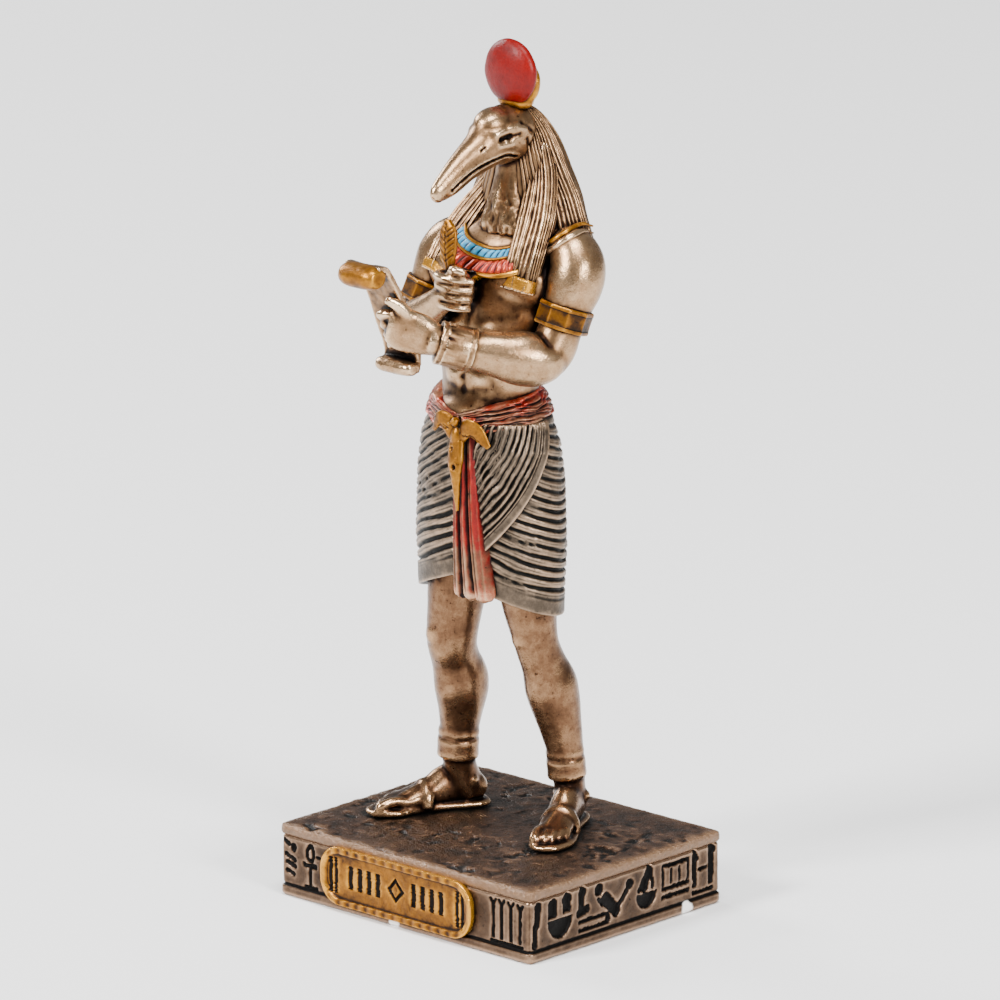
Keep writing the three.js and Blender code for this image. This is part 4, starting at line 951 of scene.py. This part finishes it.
# Faceted gold armbands and the broad wrist guard
armbands = {
    "left": ((8.4, 0.9, 55.0), (8.1, 0.2, 52.8), 2.8),
    "right": ((-9.3, 0.3, 54.6), (-9.75, -0.4, 52.5), 2.75),
}


def buildCuff(name, start, end, radius, facets=9, rim=0.04):
    start, end = np.array(start), np.array(end)
    ahead = (end - start) / np.linalg.norm(end - start)
    side = np.array([1, 0, 0]) if abs(ahead[2]) > 0.8 else np.array([0, 0, 1])
    across = side - (side @ ahead) * ahead
    across = across / np.linalg.norm(across)
    outward = np.cross(ahead, across)
    profile = smoothRows([[0, -0.5], [0, -0.1], [0.04, 0.0], [0.1, rim], [0.16, rim], [0.22, 0],
                          [0.78, 0], [0.84, rim], [0.9, rim], [0.96, 0.0], [1, -0.1], [1, -0.5]], 3)

    def place(share, turn):
        i = rowAt(share, profile)
        sector = fullTurn / facets
        flat = math.cos(sector / 2) / np.cos(np.mod(turn, sector) - sector / 2)
        size = radius * flat + profile[i, 1]
        middle = start + (end - start) * profile[i, 0][:, None]
        return (middle + across * (np.cos(turn) * size)[:, None] + outward * (np.sin(turn) * size)[:, None]).T
    return roughen(makeForm(name, 160, len(profile), place), size=0.6, height=0.02, seed=31)


for bandSide, (bandFrom, bandTo, bandSize) in armbands.items():
    cuffPiece = buildCuff(bandSide + "Armband", bandFrom, bandTo, bandSize)
    finishPiece(cuffPiece, "gold")
wristGuard = buildCuff("wristGuard", (3.9, -7.8, 51.25), (1.6, -10.4, 52.3), radius=2.2, facets=36, rim=-0.01)
roughen(wristGuard, size=0.9, height=0.06, seed=33)
finishPiece(wristGuard, "bronze")

# Scroll: an open sheet, its gold top roll and its curled foot, and the gold pen
scroll = {
    "x": -2.75, "half": 2.3, "thick": 0.32,
    "line": [[-16.6, 60.2], [-15.5, 60.0], [-14.4, 58.8], [-13.3, 56.7], [-12.3, 54.4], [-11.4, 52.2],
             [-10.9, 50.4], [-11.1, 48.9]],
    "top": (-16.6, 59.3, 1.45, 1.28), "foot": (-11.7, 49.35, 1.1, 0.85),
}


def buildRoll(name, y, z, deep, high):
    def place(share, turn):
        bulge = 1 - 0.34 * np.abs(2 * share - 1) ** 5
        spiral = 1 - 0.05 * turn / fullTurn
        x = scroll["x"] + (2 * share - 1) * (scroll["half"] + 0.08)
        return x, y + np.cos(turn) * deep * bulge * spiral, z + np.sin(turn) * high * bulge * spiral
    return makeForm(name, 64, 40, place)


def buildSheet():
    line = smoothRows(scroll["line"], steps=10)
    ahead = np.gradient(line, axis=0)
    ahead /= np.linalg.norm(ahead, axis=1)[:, None]
    over = np.stack([ahead[:, 1], -ahead[:, 0]], axis=1)

    def place(share, turn):
        i = rowAt(share, line)
        across = np.clip(np.cos(turn) * 1.25, -1, 1)
        face = np.clip(np.sin(turn) * 4, -1, 1) * scroll["thick"]
        wave = 0.06 * np.sin(across * 3 + i * 0.25)
        flat = line[i] + over[i] * (face + wave)[:, None]
        return scroll["x"] + across * scroll["half"], flat[:, 0], flat[:, 1]
    return makeForm("sheet", 64, len(line), place)


sheetPiece = joinAll("openScroll", [buildSheet(), buildRoll("foot", *scroll["foot"])])
fuse(sheetPiece, grain=0.15, softness=2)
roughen(sheetPiece, size=0.8, height=0.03, seed=37)
finishPiece(sheetPiece, "bronze")
topRoll = buildRoll("scrollTopRoll", *scroll["top"])
fuse(topRoll, grain=0.14, softness=2)
roughen(topRoll, size=0.8, height=0.025, seed=41)
finishPiece(topRoll, "gold")


def buildPen():
    piece = makeLimb("featherPen", [
        [-1.5, -5.1, 57.2, 0.4, 0.35], [-1.7, -5.3, 58.8, 0.75, 0.4], [-1.9, -5.2, 60.4, 1.15, 0.45],
        [-2.1, -5.0, 62.0, 1.05, 0.4], [-2.3, -4.8, 63.0, 0.3, 0.25]], (1, 0, 0), around=24, steps=8)
    fuse(piece, grain=0.08, softness=2)
    carve(piece, [(-1.6, -5.8, 58.0), (-2.0, -5.7, 60.4), (-2.2, -5.3, 62.6)], width=0.07, depth=0.12)
    for step in range(6):
        z = 59.0 + 0.6 * step
        carve(piece, [(-1.9, -5.8, z), (-1.0, -5.5, z + 0.7)], width=0.06, depth=0.1)
        carve(piece, [(-1.9, -5.8, z), (-2.9, -5.4, z + 0.7)], width=0.06, depth=0.1)
    return piece


finishPiece(buildPen(), "gold")
print("hands and scroll made")

# Head with its curved beak, and the neck down to the collar
head = {
    "skull": [(0, 1.4, 71.1), (2.65, 4.2, 2.95)],
    "beak": [
        [0, 2.0, 70.6, 2.6, 2.5], [0, -0.6, 70.8, 2.3, 2.75], [0, -2.6, 69.9, 1.85, 2.15],
        [0, -4.9, 68.8, 1.4, 1.75], [0, -6.9, 67.6, 1.1, 1.5], [0, -8.3, 66.85, 0.85, 1.15],
        [0, -9.0, 66.4, 0.6, 0.85], [0, -9.35, 66.15, 0.3, 0.45]],
    "neck": [
        [0, 3.2, 69.5, 2.3, 2.6], [0, 2.9, 67.2, 2.1, 2.4], [0, 2.5, 65.2, 2.2, 2.5],
        [0.1, 1.9, 63.6, 2.6, 2.5], [0.3, 1.3, 62.2, 3.1, 2.4], [0.5, 0.7, 61.2, 3.3, 2.1],
        [0.6, 0.2, 60.5, 2.6, 1.5]],
    "mouth": [(0.8, -7.5, 66.95), (1.0, -6.3, 67.75), (1.5, -4.2, 68.7), (1.95, -2.2, 69.15),
              (2.2, -0.6, 69.25), (2.3, 0.7, 68.8)],
    "carving": [  # path, width, depth
        ([(2.1, -2.2, 71.9), (2.3, -0.8, 72.3), (2.6, 1.2, 72.1)], 0.5, -0.22),
        ([(2.2, -1.7, 71.15), (2.4, -0.8, 71.3)], 0.3, 0.3),
        ([(2.4, -0.8, 71.3), (2.6, 0.5, 71.5)], 0.2, 0.12),
        ([(2.1, -1.8, 70.5), (2.5, -0.4, 70.5)], 0.35, -0.1), ([(2.3, -1.1, 71.15)], 0.16, -0.14),
        ([(1.3, -3.6, 70.4)], 0.34, -0.1), ([(1.3, -3.75, 70.35), (1.35, -3.45, 70.5)], 0.13, 0.26),
        ([(2.5, 0.9, 72.6), (2.7, 2.2, 71.6)], 0.3, 0.15),
        ([(2.6, 1.5, 70.8), (2.6, 2.2, 69.2), (2.4, 2.0, 67.9)], 0.3, 0.14)],
}


def buildHead():
    parts = [makeLump("skull", *head["skull"]), makeLump("dome", (0, -0.5, 72.3), (1.9, 2.5, 1.7)),
             makeLimb("beak", head["beak"], (1, 0, 0), around=32, steps=6),
             makeLimb("neck", head["neck"], (1, 0, 0), around=32, steps=6)]
    piece = joinAll("ibisHead", parts)
    fuse(piece, grain=0.14, softness=7)
    for side in (1, -1):
        lip = np.array(head["mouth"]) * (side, 1, 1)
        for rise in (0.3, -0.3):
            carve(piece, lip + (0, 0, rise), width=0.2, depth=-0.1)
        carve(piece, lip, width=0.14, depth=0.3)
        for path, width, depth in head["carving"]:
            carve(piece, np.array(path) * (side, 1, 1), width, depth)
    points = readPoints(piece)
    rough = np.clip((67.5 - points[:, 2]) / 3, 0, 1) * layeredNoise(points * (1.3, 1.3, 0.6), 0.8, seed=43)
    low = np.clip((62.3 - points[:, 2]) / 1.5, 0, 1) * np.abs(np.sin(points[:, 0] * 4 + points[:, 2]))
    writePoints(piece, points + pointNormals(piece) * (0.1 * rough - 0.12 * low)[:, None])
    return roughen(piece, size=0.9, height=0.012, seed=47)


finishPiece(buildHead(), "bronze")
print("head made")

# Wig: fine strands from the crown over the shoulders, and a lappet on each side of the neck
wig = {
    "rows": [  # height, half width, half depth, centre y
        [56.6, 6.6, 2.2, 4.6], [58.6, 8.0, 3.2, 4.3], [60.5, 8.3, 3.7, 4.2], [62.8, 7.2, 3.6, 4.3],
        [65.0, 6.2, 3.5, 4.4], [67.2, 5.0, 3.2, 4.3], [69.6, 3.8, 2.9, 4.1], [71.3, 2.9, 2.3, 3.9],
        [73.0, 1.8, 1.6, 3.3], [73.8, 1.0, 0.9, 2.4]],
    "strands": 62, "depth": 0.24,
    "left": [[2.6, 3.6, 70.0, 0.7, 0.8], [3.4, 2.9, 67.0, 1.4, 1.0], [4.2, 1.2, 63.4, 1.8, 1.0],
             [4.5, -0.9, 59.4, 1.85, 0.85], [4.3, -1.95, 56.3, 1.85, 0.7]],
    "right": [[-2.1, 3.6, 67.6, 0.8, 0.8], [-3.1, 2.4, 64.8, 1.3, 0.9], [-4.6, 0.6, 61.8, 1.7, 0.85],
              [-5.5, -1.6, 58.9, 1.6, 0.75], [-6.0, -2.8, 56.6, 1.5, 0.7]],
}


def strandLift(phase, along, seed):  # rounded strands of uneven width and depth
    rng = np.random.default_rng(seed)
    warp = 0.3 * np.sin(phase * 0.37 + rng.uniform(0, 6)) + 0.15 * np.sin(along * 7 + phase * 0.9)
    wave = np.abs(np.mod(phase + warp, 1) - 0.5) * 2
    depth = 0.65 + 0.35 * np.sin(np.floor(phase + warp) * 2.4)
    return (1 - wave ** 2.2 * 1.6) * depth


def buildWig():
    rows = smoothRows(wig["rows"], steps=9)

    def place(share, turn):
        row = rows[rowAt(share, rows)]
        lift = wig["depth"] * 0.5 * strandLift(turn / fullTurn * wig["strands"], share, seed=53)
        deepLock = 0.18 * np.sin(turn * 9 + 2 * share) * np.clip(1.2 - share, 0, 1)
        lift = lift + deepLock
        return ((row[:, 1] + lift) * np.cos(turn), row[:, 3] + (row[:, 2] + lift) * np.sin(turn), row[:, 0])
    return roughen(makeForm("stripedWig", 440, len(rows), place), size=0.9, height=0.012, seed=59)


def buildLappet(name, rows, seed, clip=False):  # the clip is a band round the lappet's last part
    line = smoothRows(rows, steps=16)
    if clip:
        line = line[-9:]
    centre = line[:, :3]
    across, outward = pathAxes(centre, (1, 0, 0))

    def place(share, turn):
        i = rowAt(share, line)
        square = np.maximum(np.abs(np.cos(turn)), np.abs(np.sin(turn)))
        size = 1 / (1 - 0.7 + 0.7 * square)
        if clip:
            lift = 0.14 - 0.3 * np.abs(2 * share - 1) ** 12
        else:
            lift = 0.15 * strandLift(turn / fullTurn * 26, share, seed)
        x, y = np.cos(turn) * (line[i, 3] * size + lift), np.sin(turn) * (line[i, 4] * size + lift)
        return (centre[i] + across[i] * x[:, None] + outward[i] * y[:, None]).T
    return roughen(makeForm(name, 120 if clip else 230, len(line), place), 0.7, 0.03, seed + 1)


finishPiece(buildWig(), "bronze")
finishPiece(buildLappet("leftLappet", wig["left"], 61), "bronze")
finishPiece(buildLappet("rightLappet", wig["right"], 67), "bronze")
finishPiece(buildLappet("leftLappetClip", wig["left"], 62, True), "gold")
finishPiece(buildLappet("rightLappetClip", wig["right"], 68, True), "gold")
print("wig made")

# Sun disc: a red face in a gold holder
discFace = makeLump("sunDisc", (0, 1.8, 77.15), (3.35, 1.35, 3.35))
useModifier(discFace, "SUBSURF", levels=2, render_levels=2)
roughen(discFace, size=1.2, height=0.03, seed=71)
finishPiece(discFace, "disc")
holder = joinAll("discHolder", [makeLump("holder", (0, 2.7, 76.0), (3.0, 1.25, 2.6), lean=-8),
                                makeLump("seat", (0, 2.5, 74.2), (2.1, 1.5, 1.0))])
fuse(holder, grain=0.18, softness=4)
roughen(holder, size=1.0, height=0.03, seed=73)
finishPiece(holder, "gold")
print("disc made")

# Plinth: a rough top slab, carved sides and a gold plaque
plinth = {
    "corner": 0.7, "round": 0.5, "chamfer": 0.3, "groove": 0.3, "bandInset": 0.16, "carving": 0.32,
    "inside": 0.9,
}
lowGroove, highGroove = plinthHigh * 0.16, plinthHigh * 0.83
grooveHalf = 0.22
outside = -9.0  # the depth of a place that no mark reaches


def onRim(turnShare, inset):  # a place on the plinth's rounded outline, by its share of the way round
    halfWide, halfDeep = plinthWide / 2 - inset, plinthDeep / 2 - inset
    radius = np.maximum(plinth["corner"] - inset, plinth["corner"] / 4)
    straightX, straightY = plinthWide - 2 * plinth["corner"], plinthDeep - 2 * plinth["corner"]
    arc = plinth["corner"] * math.pi / 2
    lengths = [straightX, arc, straightY, arc] * 2
    starts = np.concatenate([[0], np.cumsum(lengths)])
    place = np.mod(turnShare, 1) * starts[-1]
    side = np.clip(np.searchsorted(starts, place, side="right") - 1, 0, 7)
    part = (place - starts[side]) / np.array(lengths)[side]
    x, y = np.zeros_like(place), np.zeros_like(place)
    corners = [(-1, -1), (1, -1), (1, 1), (-1, 1)]
    for k in range(4):
        startCorner, endCorner = corners[k], corners[(k + 1) % 4]
        straight = side == 2 * k
        for axis, half, out in ((0, halfWide, x), (1, halfDeep, y)):
            moving = startCorner[axis] != endCorner[axis]
            reach = half[straight] - radius[straight] if moving else half[straight]
            a, b = startCorner[axis] * reach, endCorner[axis] * reach
            out[straight] = a + (b - a) * part[straight]
        bend = side == 2 * k + 1
        r = radius[bend]
        angle = math.radians(-90 + 90 * k) + part[bend] * math.pi / 2
        x[bend] = endCorner[0] * (halfWide[bend] - r) + r * np.cos(angle)
        y[bend] = endCorner[1] * (halfDeep[bend] - r) + r * np.sin(angle)
    return x, y


def buildTopSlab():
    rings, edgeShare = 80, 0.12
    profile = [(plinth["inside"], highGroove + 0.02), (0.3, highGroove), (0.0, highGroove + grooveHalf),
               (0.0, plinthHigh - 0.6 * plinth["round"]),
               (0.3 * plinth["round"], plinthHigh - 0.2 * plinth["round"]), (plinth["round"], plinthHigh)]

    def place(share, turn):
        edge = np.clip(share / edgeShare, 0, 1) * (len(profile) - 1)
        inset = np.interp(edge, range(len(profile)), [p[0] for p in profile])
        height = np.interp(edge, range(len(profile)), [p[1] for p in profile])
        inward = np.clip((share - edgeShare) / (1 - edgeShare), 0, 1)
        x, y = onRim(turn / fullTurn, inset)
        return x * (1 - inward), y * (1 - inward), height
    piece = makeForm("plinthTop", 400, rings, place)
    points, normals = readPoints(piece), pointNormals(piece)
    pits = np.clip(layeredNoise(points, 1.3, seed=79, layers=4) - 0.25, 0, 0.6)
    crust = np.clip(layeredNoise(points * (1, 1, 0.4), 2.6, seed=81, layers=5), -0.4, 1)
    calm = np.clip(layeredNoise(points, 6, seed=83) + 0.6, 0.15, 1)
    onTop = np.clip((points[:, 2] - plinthHigh + 0.4) / 0.3, 0, 1)
    press = onTop * (0.1 + calm * (0.34 * pits - 0.12 * crust))
    writePoints(piece, points - normals * press[:, None])
    roughen(piece, size=0.7, height=0.02, seed=89)
    edge = np.minimum(plinthWide / 2 - np.abs(points[:, 0]), plinthDeep / 2 - np.abs(points[:, 1]))
    mark(piece, "wear", np.clip(1.25 - edge / 1.6 + 0.5 * layeredNoise(points, 2.5, seed=85), 0, 1))
    return piece


topSlab = buildTopSlab()
mark(topSlab, "lineWash", np.exp(-((readPoints(topSlab)[:, 2] - highGroove) / 0.2) ** 2))
finishPiece(topSlab, "slab", "plinth")


# Sunk marks: bars, discs and slants, in shares of a side's length and of the band's height
barWide = 0.13
sideMarks = [  # kind, place along and up, size along and up, or both ends and width of a slant
    ("slant", -0.468, -0.4, -0.464, 0.0, 0.024), ("slant", -0.458, 0.0, -0.45, 0.36, 0.03),
    ("disc", -0.45, 0.36, 0.018, 0.1),
    ("bar", -0.376, 0.2, 0.042, 0.3), ("bar", -0.303, 0.24, 0.042, 0.3), ("disc", -0.376, 0.3, 0.024, 0.14),
    ("disc", -0.303, 0.34, 0.024, 0.14), ("bowl", -0.338, 0.0, 0.062, 0.38),
    ("bar", -0.228, 0.2, 0.03, 0.4), ("disc", -0.222, 0.38, 0.02, 0.12),
    ("slant", -0.24, -0.02, -0.2, 0.02, 0.03),
    ("bar", -0.17, -0.2, 0.15, 0.06), ("bar", -0.17, -0.38, 0.15, 0.06), ("disc", -0.092, -0.29, 0.014, 0.12),
    ("disc", -0.138, 0.32, 0.022, 0.12), ("slant", -0.142, 0.14, -0.122, 0.0, 0.012),
    ("slant", -0.104, 0.1, -0.05, -0.2, 0.045), ("slant", -0.05, -0.2, 0.018, 0.2, 0.022),
    ("disc", 0.02, 0.24, 0.02, 0.1),
    ("slant", 0.074, 0.04, 0.122, 0.44, 0.022), ("slant", 0.1, 0.04, 0.124, 0.4, 0.03),
    ("slant", 0.14, 0.04, 0.132, 0.4, 0.016),
    ("bowl", 0.108, -0.06, 0.052, 0.3), ("bar", 0.26, 0.36, 0.14, 0.07), ("bar", 0.195, 0.14, 0.01, 0.36),
    ("bar", 0.238, 0.14, 0.008, 0.3), ("bar", 0.28, 0.14, 0.008, 0.3), ("bar", 0.325, 0.14, 0.01, 0.36),
    ("bar", 0.26, -0.1, 0.145, 0.07), ("bar", 0.26, -0.26, 0.145, 0.07), ("bar", 0.36, 0.1, 0.022, 0.72),
    ("slant", 0.36, 0.44, 0.372, 0.3, 0.02), ("bar", 0.446, 0.1, 0.026, 0.76),
    ("disc", 0.452, 0.4, 0.02, 0.1),
    ("bar", 0.4, 0.08, 0.05, 0.07), ("bar", 0.4, -0.38, 0.11, 0.06)]
frontMarks = [
    ("slant", -0.485, 0.4, -0.465, 0.34, 0.014), ("disc", -0.445, 0.28, 0.01, 0.09),
    ("slant", -0.475, 0.12, -0.442, 0.02, 0.014),
    ("slant", -0.47, -0.04, -0.44, -0.1, 0.014), ("slant", -0.472, -0.2, -0.445, -0.26, 0.012),
    ("ring", -0.378, 0.24, 0.018, 0.2), ("bar", -0.378, 0.0, 0.055, 0.08), ("bar", -0.378, -0.2, 0.012, 0.4),
    ("bar", -0.374, -0.44, 0.055, 0.07), ("bar", -0.345, 0.2, 0.02, 0.04), ("bar", 0.405, -0.44, 0.13, 0.06)]
for gate in (0.352, 0.384, 0.42, 0.456):
    frontMarks += [("bar", gate, -0.02, 0.011, 0.72), ("slant", gate - 0.01, 0.4, gate, 0.3, 0.008),
                   ("slant", gate + 0.01, 0.4, gate, 0.3, 0.008)]
plainMarks = []
for spot in (-0.36, -0.12, 0.12, 0.36):
    plainMarks += [("bar", spot - 0.05, 0, 0.014, 0.8), ("bowl", spot + 0.03, -0.1, 0.045, 0.3),
                   ("bar", spot + 0.03, 0.28, 0.07, barWide)]


def markDepth(marks, along, rise, length, height):  # how far inside a mark each place is, in millimetres
    deepest = np.full(along.shape, outside)
    for kind, *size in marks:
        if kind == "slant":
            x0, y0, x1, y1, wide = size
            ax, ay, bx, by = x0 * length, y0 * height, x1 * length, y1 * height
            t = ((along - ax) * (bx - ax) + (rise - ay) * (by - ay)) / ((bx - ax) ** 2 + (by - ay) ** 2)
            t = np.clip(t, 0, 1)
            inside = wide * length / 2 - np.hypot(along - ax - t * (bx - ax), rise - ay - t * (by - ay))
        else:
            cx, cy, sx, sy = size[0] * length, size[1] * height, size[2] * length, size[3] * height
            if kind == "bar":
                inside = np.minimum(sx / 2 - np.abs(along - cx), sy / 2 - np.abs(rise - cy))
            else:
                inside = (1 - np.hypot((along - cx) / sx, (rise - cy) / sy)) * min(sx, sy)
                if kind == "bowl":
                    inside = np.minimum(inside, cy - rise)
                if kind == "ring":
                    inside = 0.17 - np.abs(inside - 0.17)
        deepest = np.maximum(deepest, inside)
    return deepest


def buildSides():
    rows = [(plinth["inside"], 0.0), (plinth["chamfer"], 0.0), (0.0, plinth["chamfer"]),
            (0.0, lowGroove - grooveHalf), (plinth["groove"], lowGroove),
            (plinth["bandInset"], lowGroove + grooveHalf),
            (plinth["bandInset"], highGroove - grooveHalf), (plinth["groove"], highGroove - 0.02),
            (plinth["inside"], highGroove)]
    shares = [0, 0.05, 0.1, 0.2, 0.25, 0.3, 0.9, 0.95, 1]
    bandMiddle = (highGroove + lowGroove) / 2
    bandHeight = highGroove - lowGroove
    edgeX, edgeY = plinthWide / 2 - 0.6, plinthDeep / 2 - 0.6

    def place(share, turn):
        inset = np.interp(share, shares, [row[0] for row in rows])
        height = np.interp(share, shares, [row[1] for row in rows])
        x, y = onRim(turn / fullTurn, inset)
        rise = height - bandMiddle
        cut = np.full(x.shape, outside)
        for facing, along, length, marks in (
                (y < -edgeY, x, plinthWide, frontMarks), (x > edgeX, y, plinthDeep, sideMarks),
                (y > edgeY, -x, plinthWide, plainMarks), (x < -edgeX, -y, plinthDeep, plainMarks)):
            found = markDepth(marks, along, rise, length, bandHeight)
            cut = np.where(facing, np.maximum(cut, found), cut)
        spots = np.stack([x + 2 * y, height, 0 * x], axis=1)
        ragged = 0.05 * layeredNoise(spots, 0.5, seed=91, layers=2)
        press = plinth["carving"] * np.clip((cut + ragged) / 0.1 + 0.4, 0, 1)
        x, y = onRim(turn / fullTurn, inset + press)
        return x, y, height
    return roughen(makeForm("plinthSides", 880, 60, place), size=0.8, height=0.022, seed=97)


def deepenLines(piece, lines):  # the wash that stays in the long grooves
    points = readPoints(piece)
    inset = np.minimum(plinthWide / 2 - np.abs(points[:, 0]), plinthDeep / 2 - np.abs(points[:, 1]))
    inBand = (points[:, 2] > lines[0]) & (points[:, 2] < lines[1])
    sunk = np.clip((inset - plinth["bandInset"] - 0.1) / 0.12, 0, 1) * inBand
    mark(piece, "lineWash", sunk + sum(np.exp(-((points[:, 2] - line) / 0.14) ** 2) for line in lines))


sidePiece = buildSides()
deepenLines(sidePiece, (lowGroove, highGroove))
spots = readPoints(sidePiece)
chips = [(np.array([plinthWide / 2, 8.9, 0.65]), 0.68), (np.array([-1.3, -plinthDeep / 2, 0.3]), 0.6)]
chipped = sum(np.clip(1.5 - np.linalg.norm((spots - place) * (1, 1, 1.1), axis=1) / size * 1.2
                      + 0.3 * layeredNoise(spots, 0.6, seed=93), 0, 1) for place, size in chips)
mark(sidePiece, "chip", np.clip(chipped * 3, 0, 1))
finishPiece(sidePiece, "sides", "plinth")
print("plinth made")

plaque = {
    "centre": -0.022, "half": 0.3, "rise": 0.585, "thick": 0.7, "rim": 0.62, "end": 2.6,
    "sunk": 0.25, "well": 0.26, "cut": 0.3,
    "strokes": [(x, 0.1, 0.26, 1.2) for x in (-6.3, -5.05, -3.8, -2.55, 2.35, 3.6, 4.85, 6.1)],
    "diamond": (-0.1, 0.1, 1.1, 1.3),
}


def buildPlaque():
    bandMiddle = (highGroove + lowGroove) / 2
    halfHigh = (highGroove - lowGroove) * plaque["rise"]
    halfLong = plinthWide * plaque["half"]
    end = plaque["end"]

    def place(share, turn):
        size = np.clip((1 - share) / 0.94, 0, 1)
        lift = np.clip(share / 0.06, 0, 1) ** 0.5 * plaque["thick"]
        wide, high = np.cos(turn), np.sin(turn)
        reach = 1 / np.maximum(np.maximum(np.abs(wide), np.abs(high)), 0.01)
        along, rise = wide * reach * halfLong, high * reach * halfHigh
        overX = np.maximum(np.abs(along) - (halfLong - end), 0)  # square corners pulled in to a rounded end
        overY = np.maximum(np.abs(rise) - (halfHigh - end), 0)
        far = np.maximum(np.hypot(overX, overY), 1e-6)
        pull = np.minimum(1, end / far)
        along = np.sign(along) * (np.minimum(np.abs(along), halfLong - end) + overX * pull)
        rise = np.sign(rise) * (np.minimum(np.abs(rise), halfHigh - end) + overY * pull)
        x, z = along * size, rise * size
        insideX = np.maximum(np.abs(x) - (halfLong - end), 0)
        insideZ = np.maximum(np.abs(z) - (halfHigh - end), 0)
        edge = np.where((insideX > 0) | (insideZ > 0), end - np.hypot(insideX, insideZ), end)
        edge = np.minimum(edge, np.minimum(halfHigh - np.abs(z), halfLong - np.abs(x)))
        well = np.clip((edge - plaque["rim"]) / 0.12, 0, 1)
        bars = np.zeros_like(x)
        for spot in (halfLong - 2.0, halfLong - 1.35):
            bars = np.maximum(bars, np.clip((0.17 - np.abs(np.abs(x) - spot)) / 0.06 + 0.5, 0, 1))
        cut = np.zeros_like(x)
        for cx, cz, halfWide, halfTall in plaque["strokes"]:
            inside = np.minimum(halfWide - np.abs(x - cx), halfTall - np.abs(z - cz))
            cut = np.maximum(cut, np.clip(inside / 0.08 + 0.5, 0, 1))
        cx, cz, halfWide, halfTall = plaque["diamond"]
        rim = 1 - np.abs(x - cx) / halfWide - np.abs(z - cz) / halfTall
        cut = np.maximum(cut, np.clip((0.2 - np.abs(rim - 0.2)) / 0.08 + 0.5, 0, 1))
        bars = bars * (np.abs(z) < halfHigh - plaque["rim"] - 0.5)
        worn = 0.05 * np.sin(x * 5) * (1 - well)
        sunk = plaque["well"] * well + plaque["cut"] * np.maximum(cut, bars) * well
        depth = lift - np.where(share > 0.07, sunk - worn, 0)
        return plinthWide * plaque["centre"] + x, plaque["sunk"] - plinthDeep / 2 - depth, bandMiddle + z
    piece = makeForm("strokePlaque", 480, 60, place)
    sunk = readPoints(piece)[:, 1] + plinthDeep / 2 - plaque["sunk"] + plaque["thick"] - 0.36
    mark(piece, "lineWash", np.clip(sunk / 0.1, 0, 1) * (pointNormals(piece)[:, 1] < 0.5))
    return roughen(piece, size=0.6, height=0.02, seed=101)


finishPiece(buildPlaque(), "gold", "plinth")
print("plaque made")

# Pale floor plane, a dim white sky behind it, and soft studio lights
studio = {
    "floor": "#f4f4f4",
    "lights": [  # place, size, power, aim height, in metres and watts
        ((-0.25, -0.95, 0.75), 0.3, 22, 0.06), ((0.95, -0.15, 0.45), 0.25, 12, 0.05),
        ((0.3, -0.2, 1.1), 0.4, 16, 0.04), ((-1.0, 0.05, 0.5), 0.35, 9, 0.05)],
    "sky": "#ffffff", "skyPower": 0.32,
}


def buildStudio(choice):
    bpy.ops.object.select_all(action="DESELECT")
    bpy.ops.mesh.primitive_plane_add(size=6, location=(0, 0, 0))
    floor = bpy.context.object
    floor.name = "studioFloor"
    paper = bpy.data.materials.new("white paper, matt coated")
    paper.use_nodes = True
    surface = paper.node_tree.nodes["Principled BSDF"]
    surface.inputs["Base Color"].default_value = linearColour(choice["floor"])
    surface.inputs["Roughness"].default_value = 0.9
    floor.data.materials.append(paper)
    for place, size, power, aim in choice["lights"]:
        data = bpy.data.lights.new("softLight", "AREA")
        data.size, data.energy = size, power
        lamp = bpy.data.objects.new("softLight", data)
        bpy.context.scene.collection.objects.link(lamp)
        lamp.location = place
        lamp.rotation_euler = (Vector((0, 0, aim)) - Vector(place)).to_track_quat("-Z", "Y").to_euler()
    world = bpy.data.worlds.new("studio")
    world.use_nodes = True
    backdrop = world.node_tree.nodes["Background"]
    backdrop.inputs["Color"].default_value = linearColour(choice["sky"])
    backdrop.inputs["Strength"].default_value = choice["skyPower"]
    bpy.context.scene.world = world


buildStudio(studio)
# painted shade where parts meet: rays of this length from each point, darker the more of them are blocked
shadeReach, shadeRays = 2.2 * mm, 5
markOcclusionShade(finished, shadeReach, shadeRays)
# painted shade laid where surfaces meet
print("wash gathered where surfaces meet")
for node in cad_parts.values():
    node.data.materials.clear()
    node.data.materials.append(bronzeFinish if node.name == "figure" else plinthFinish)
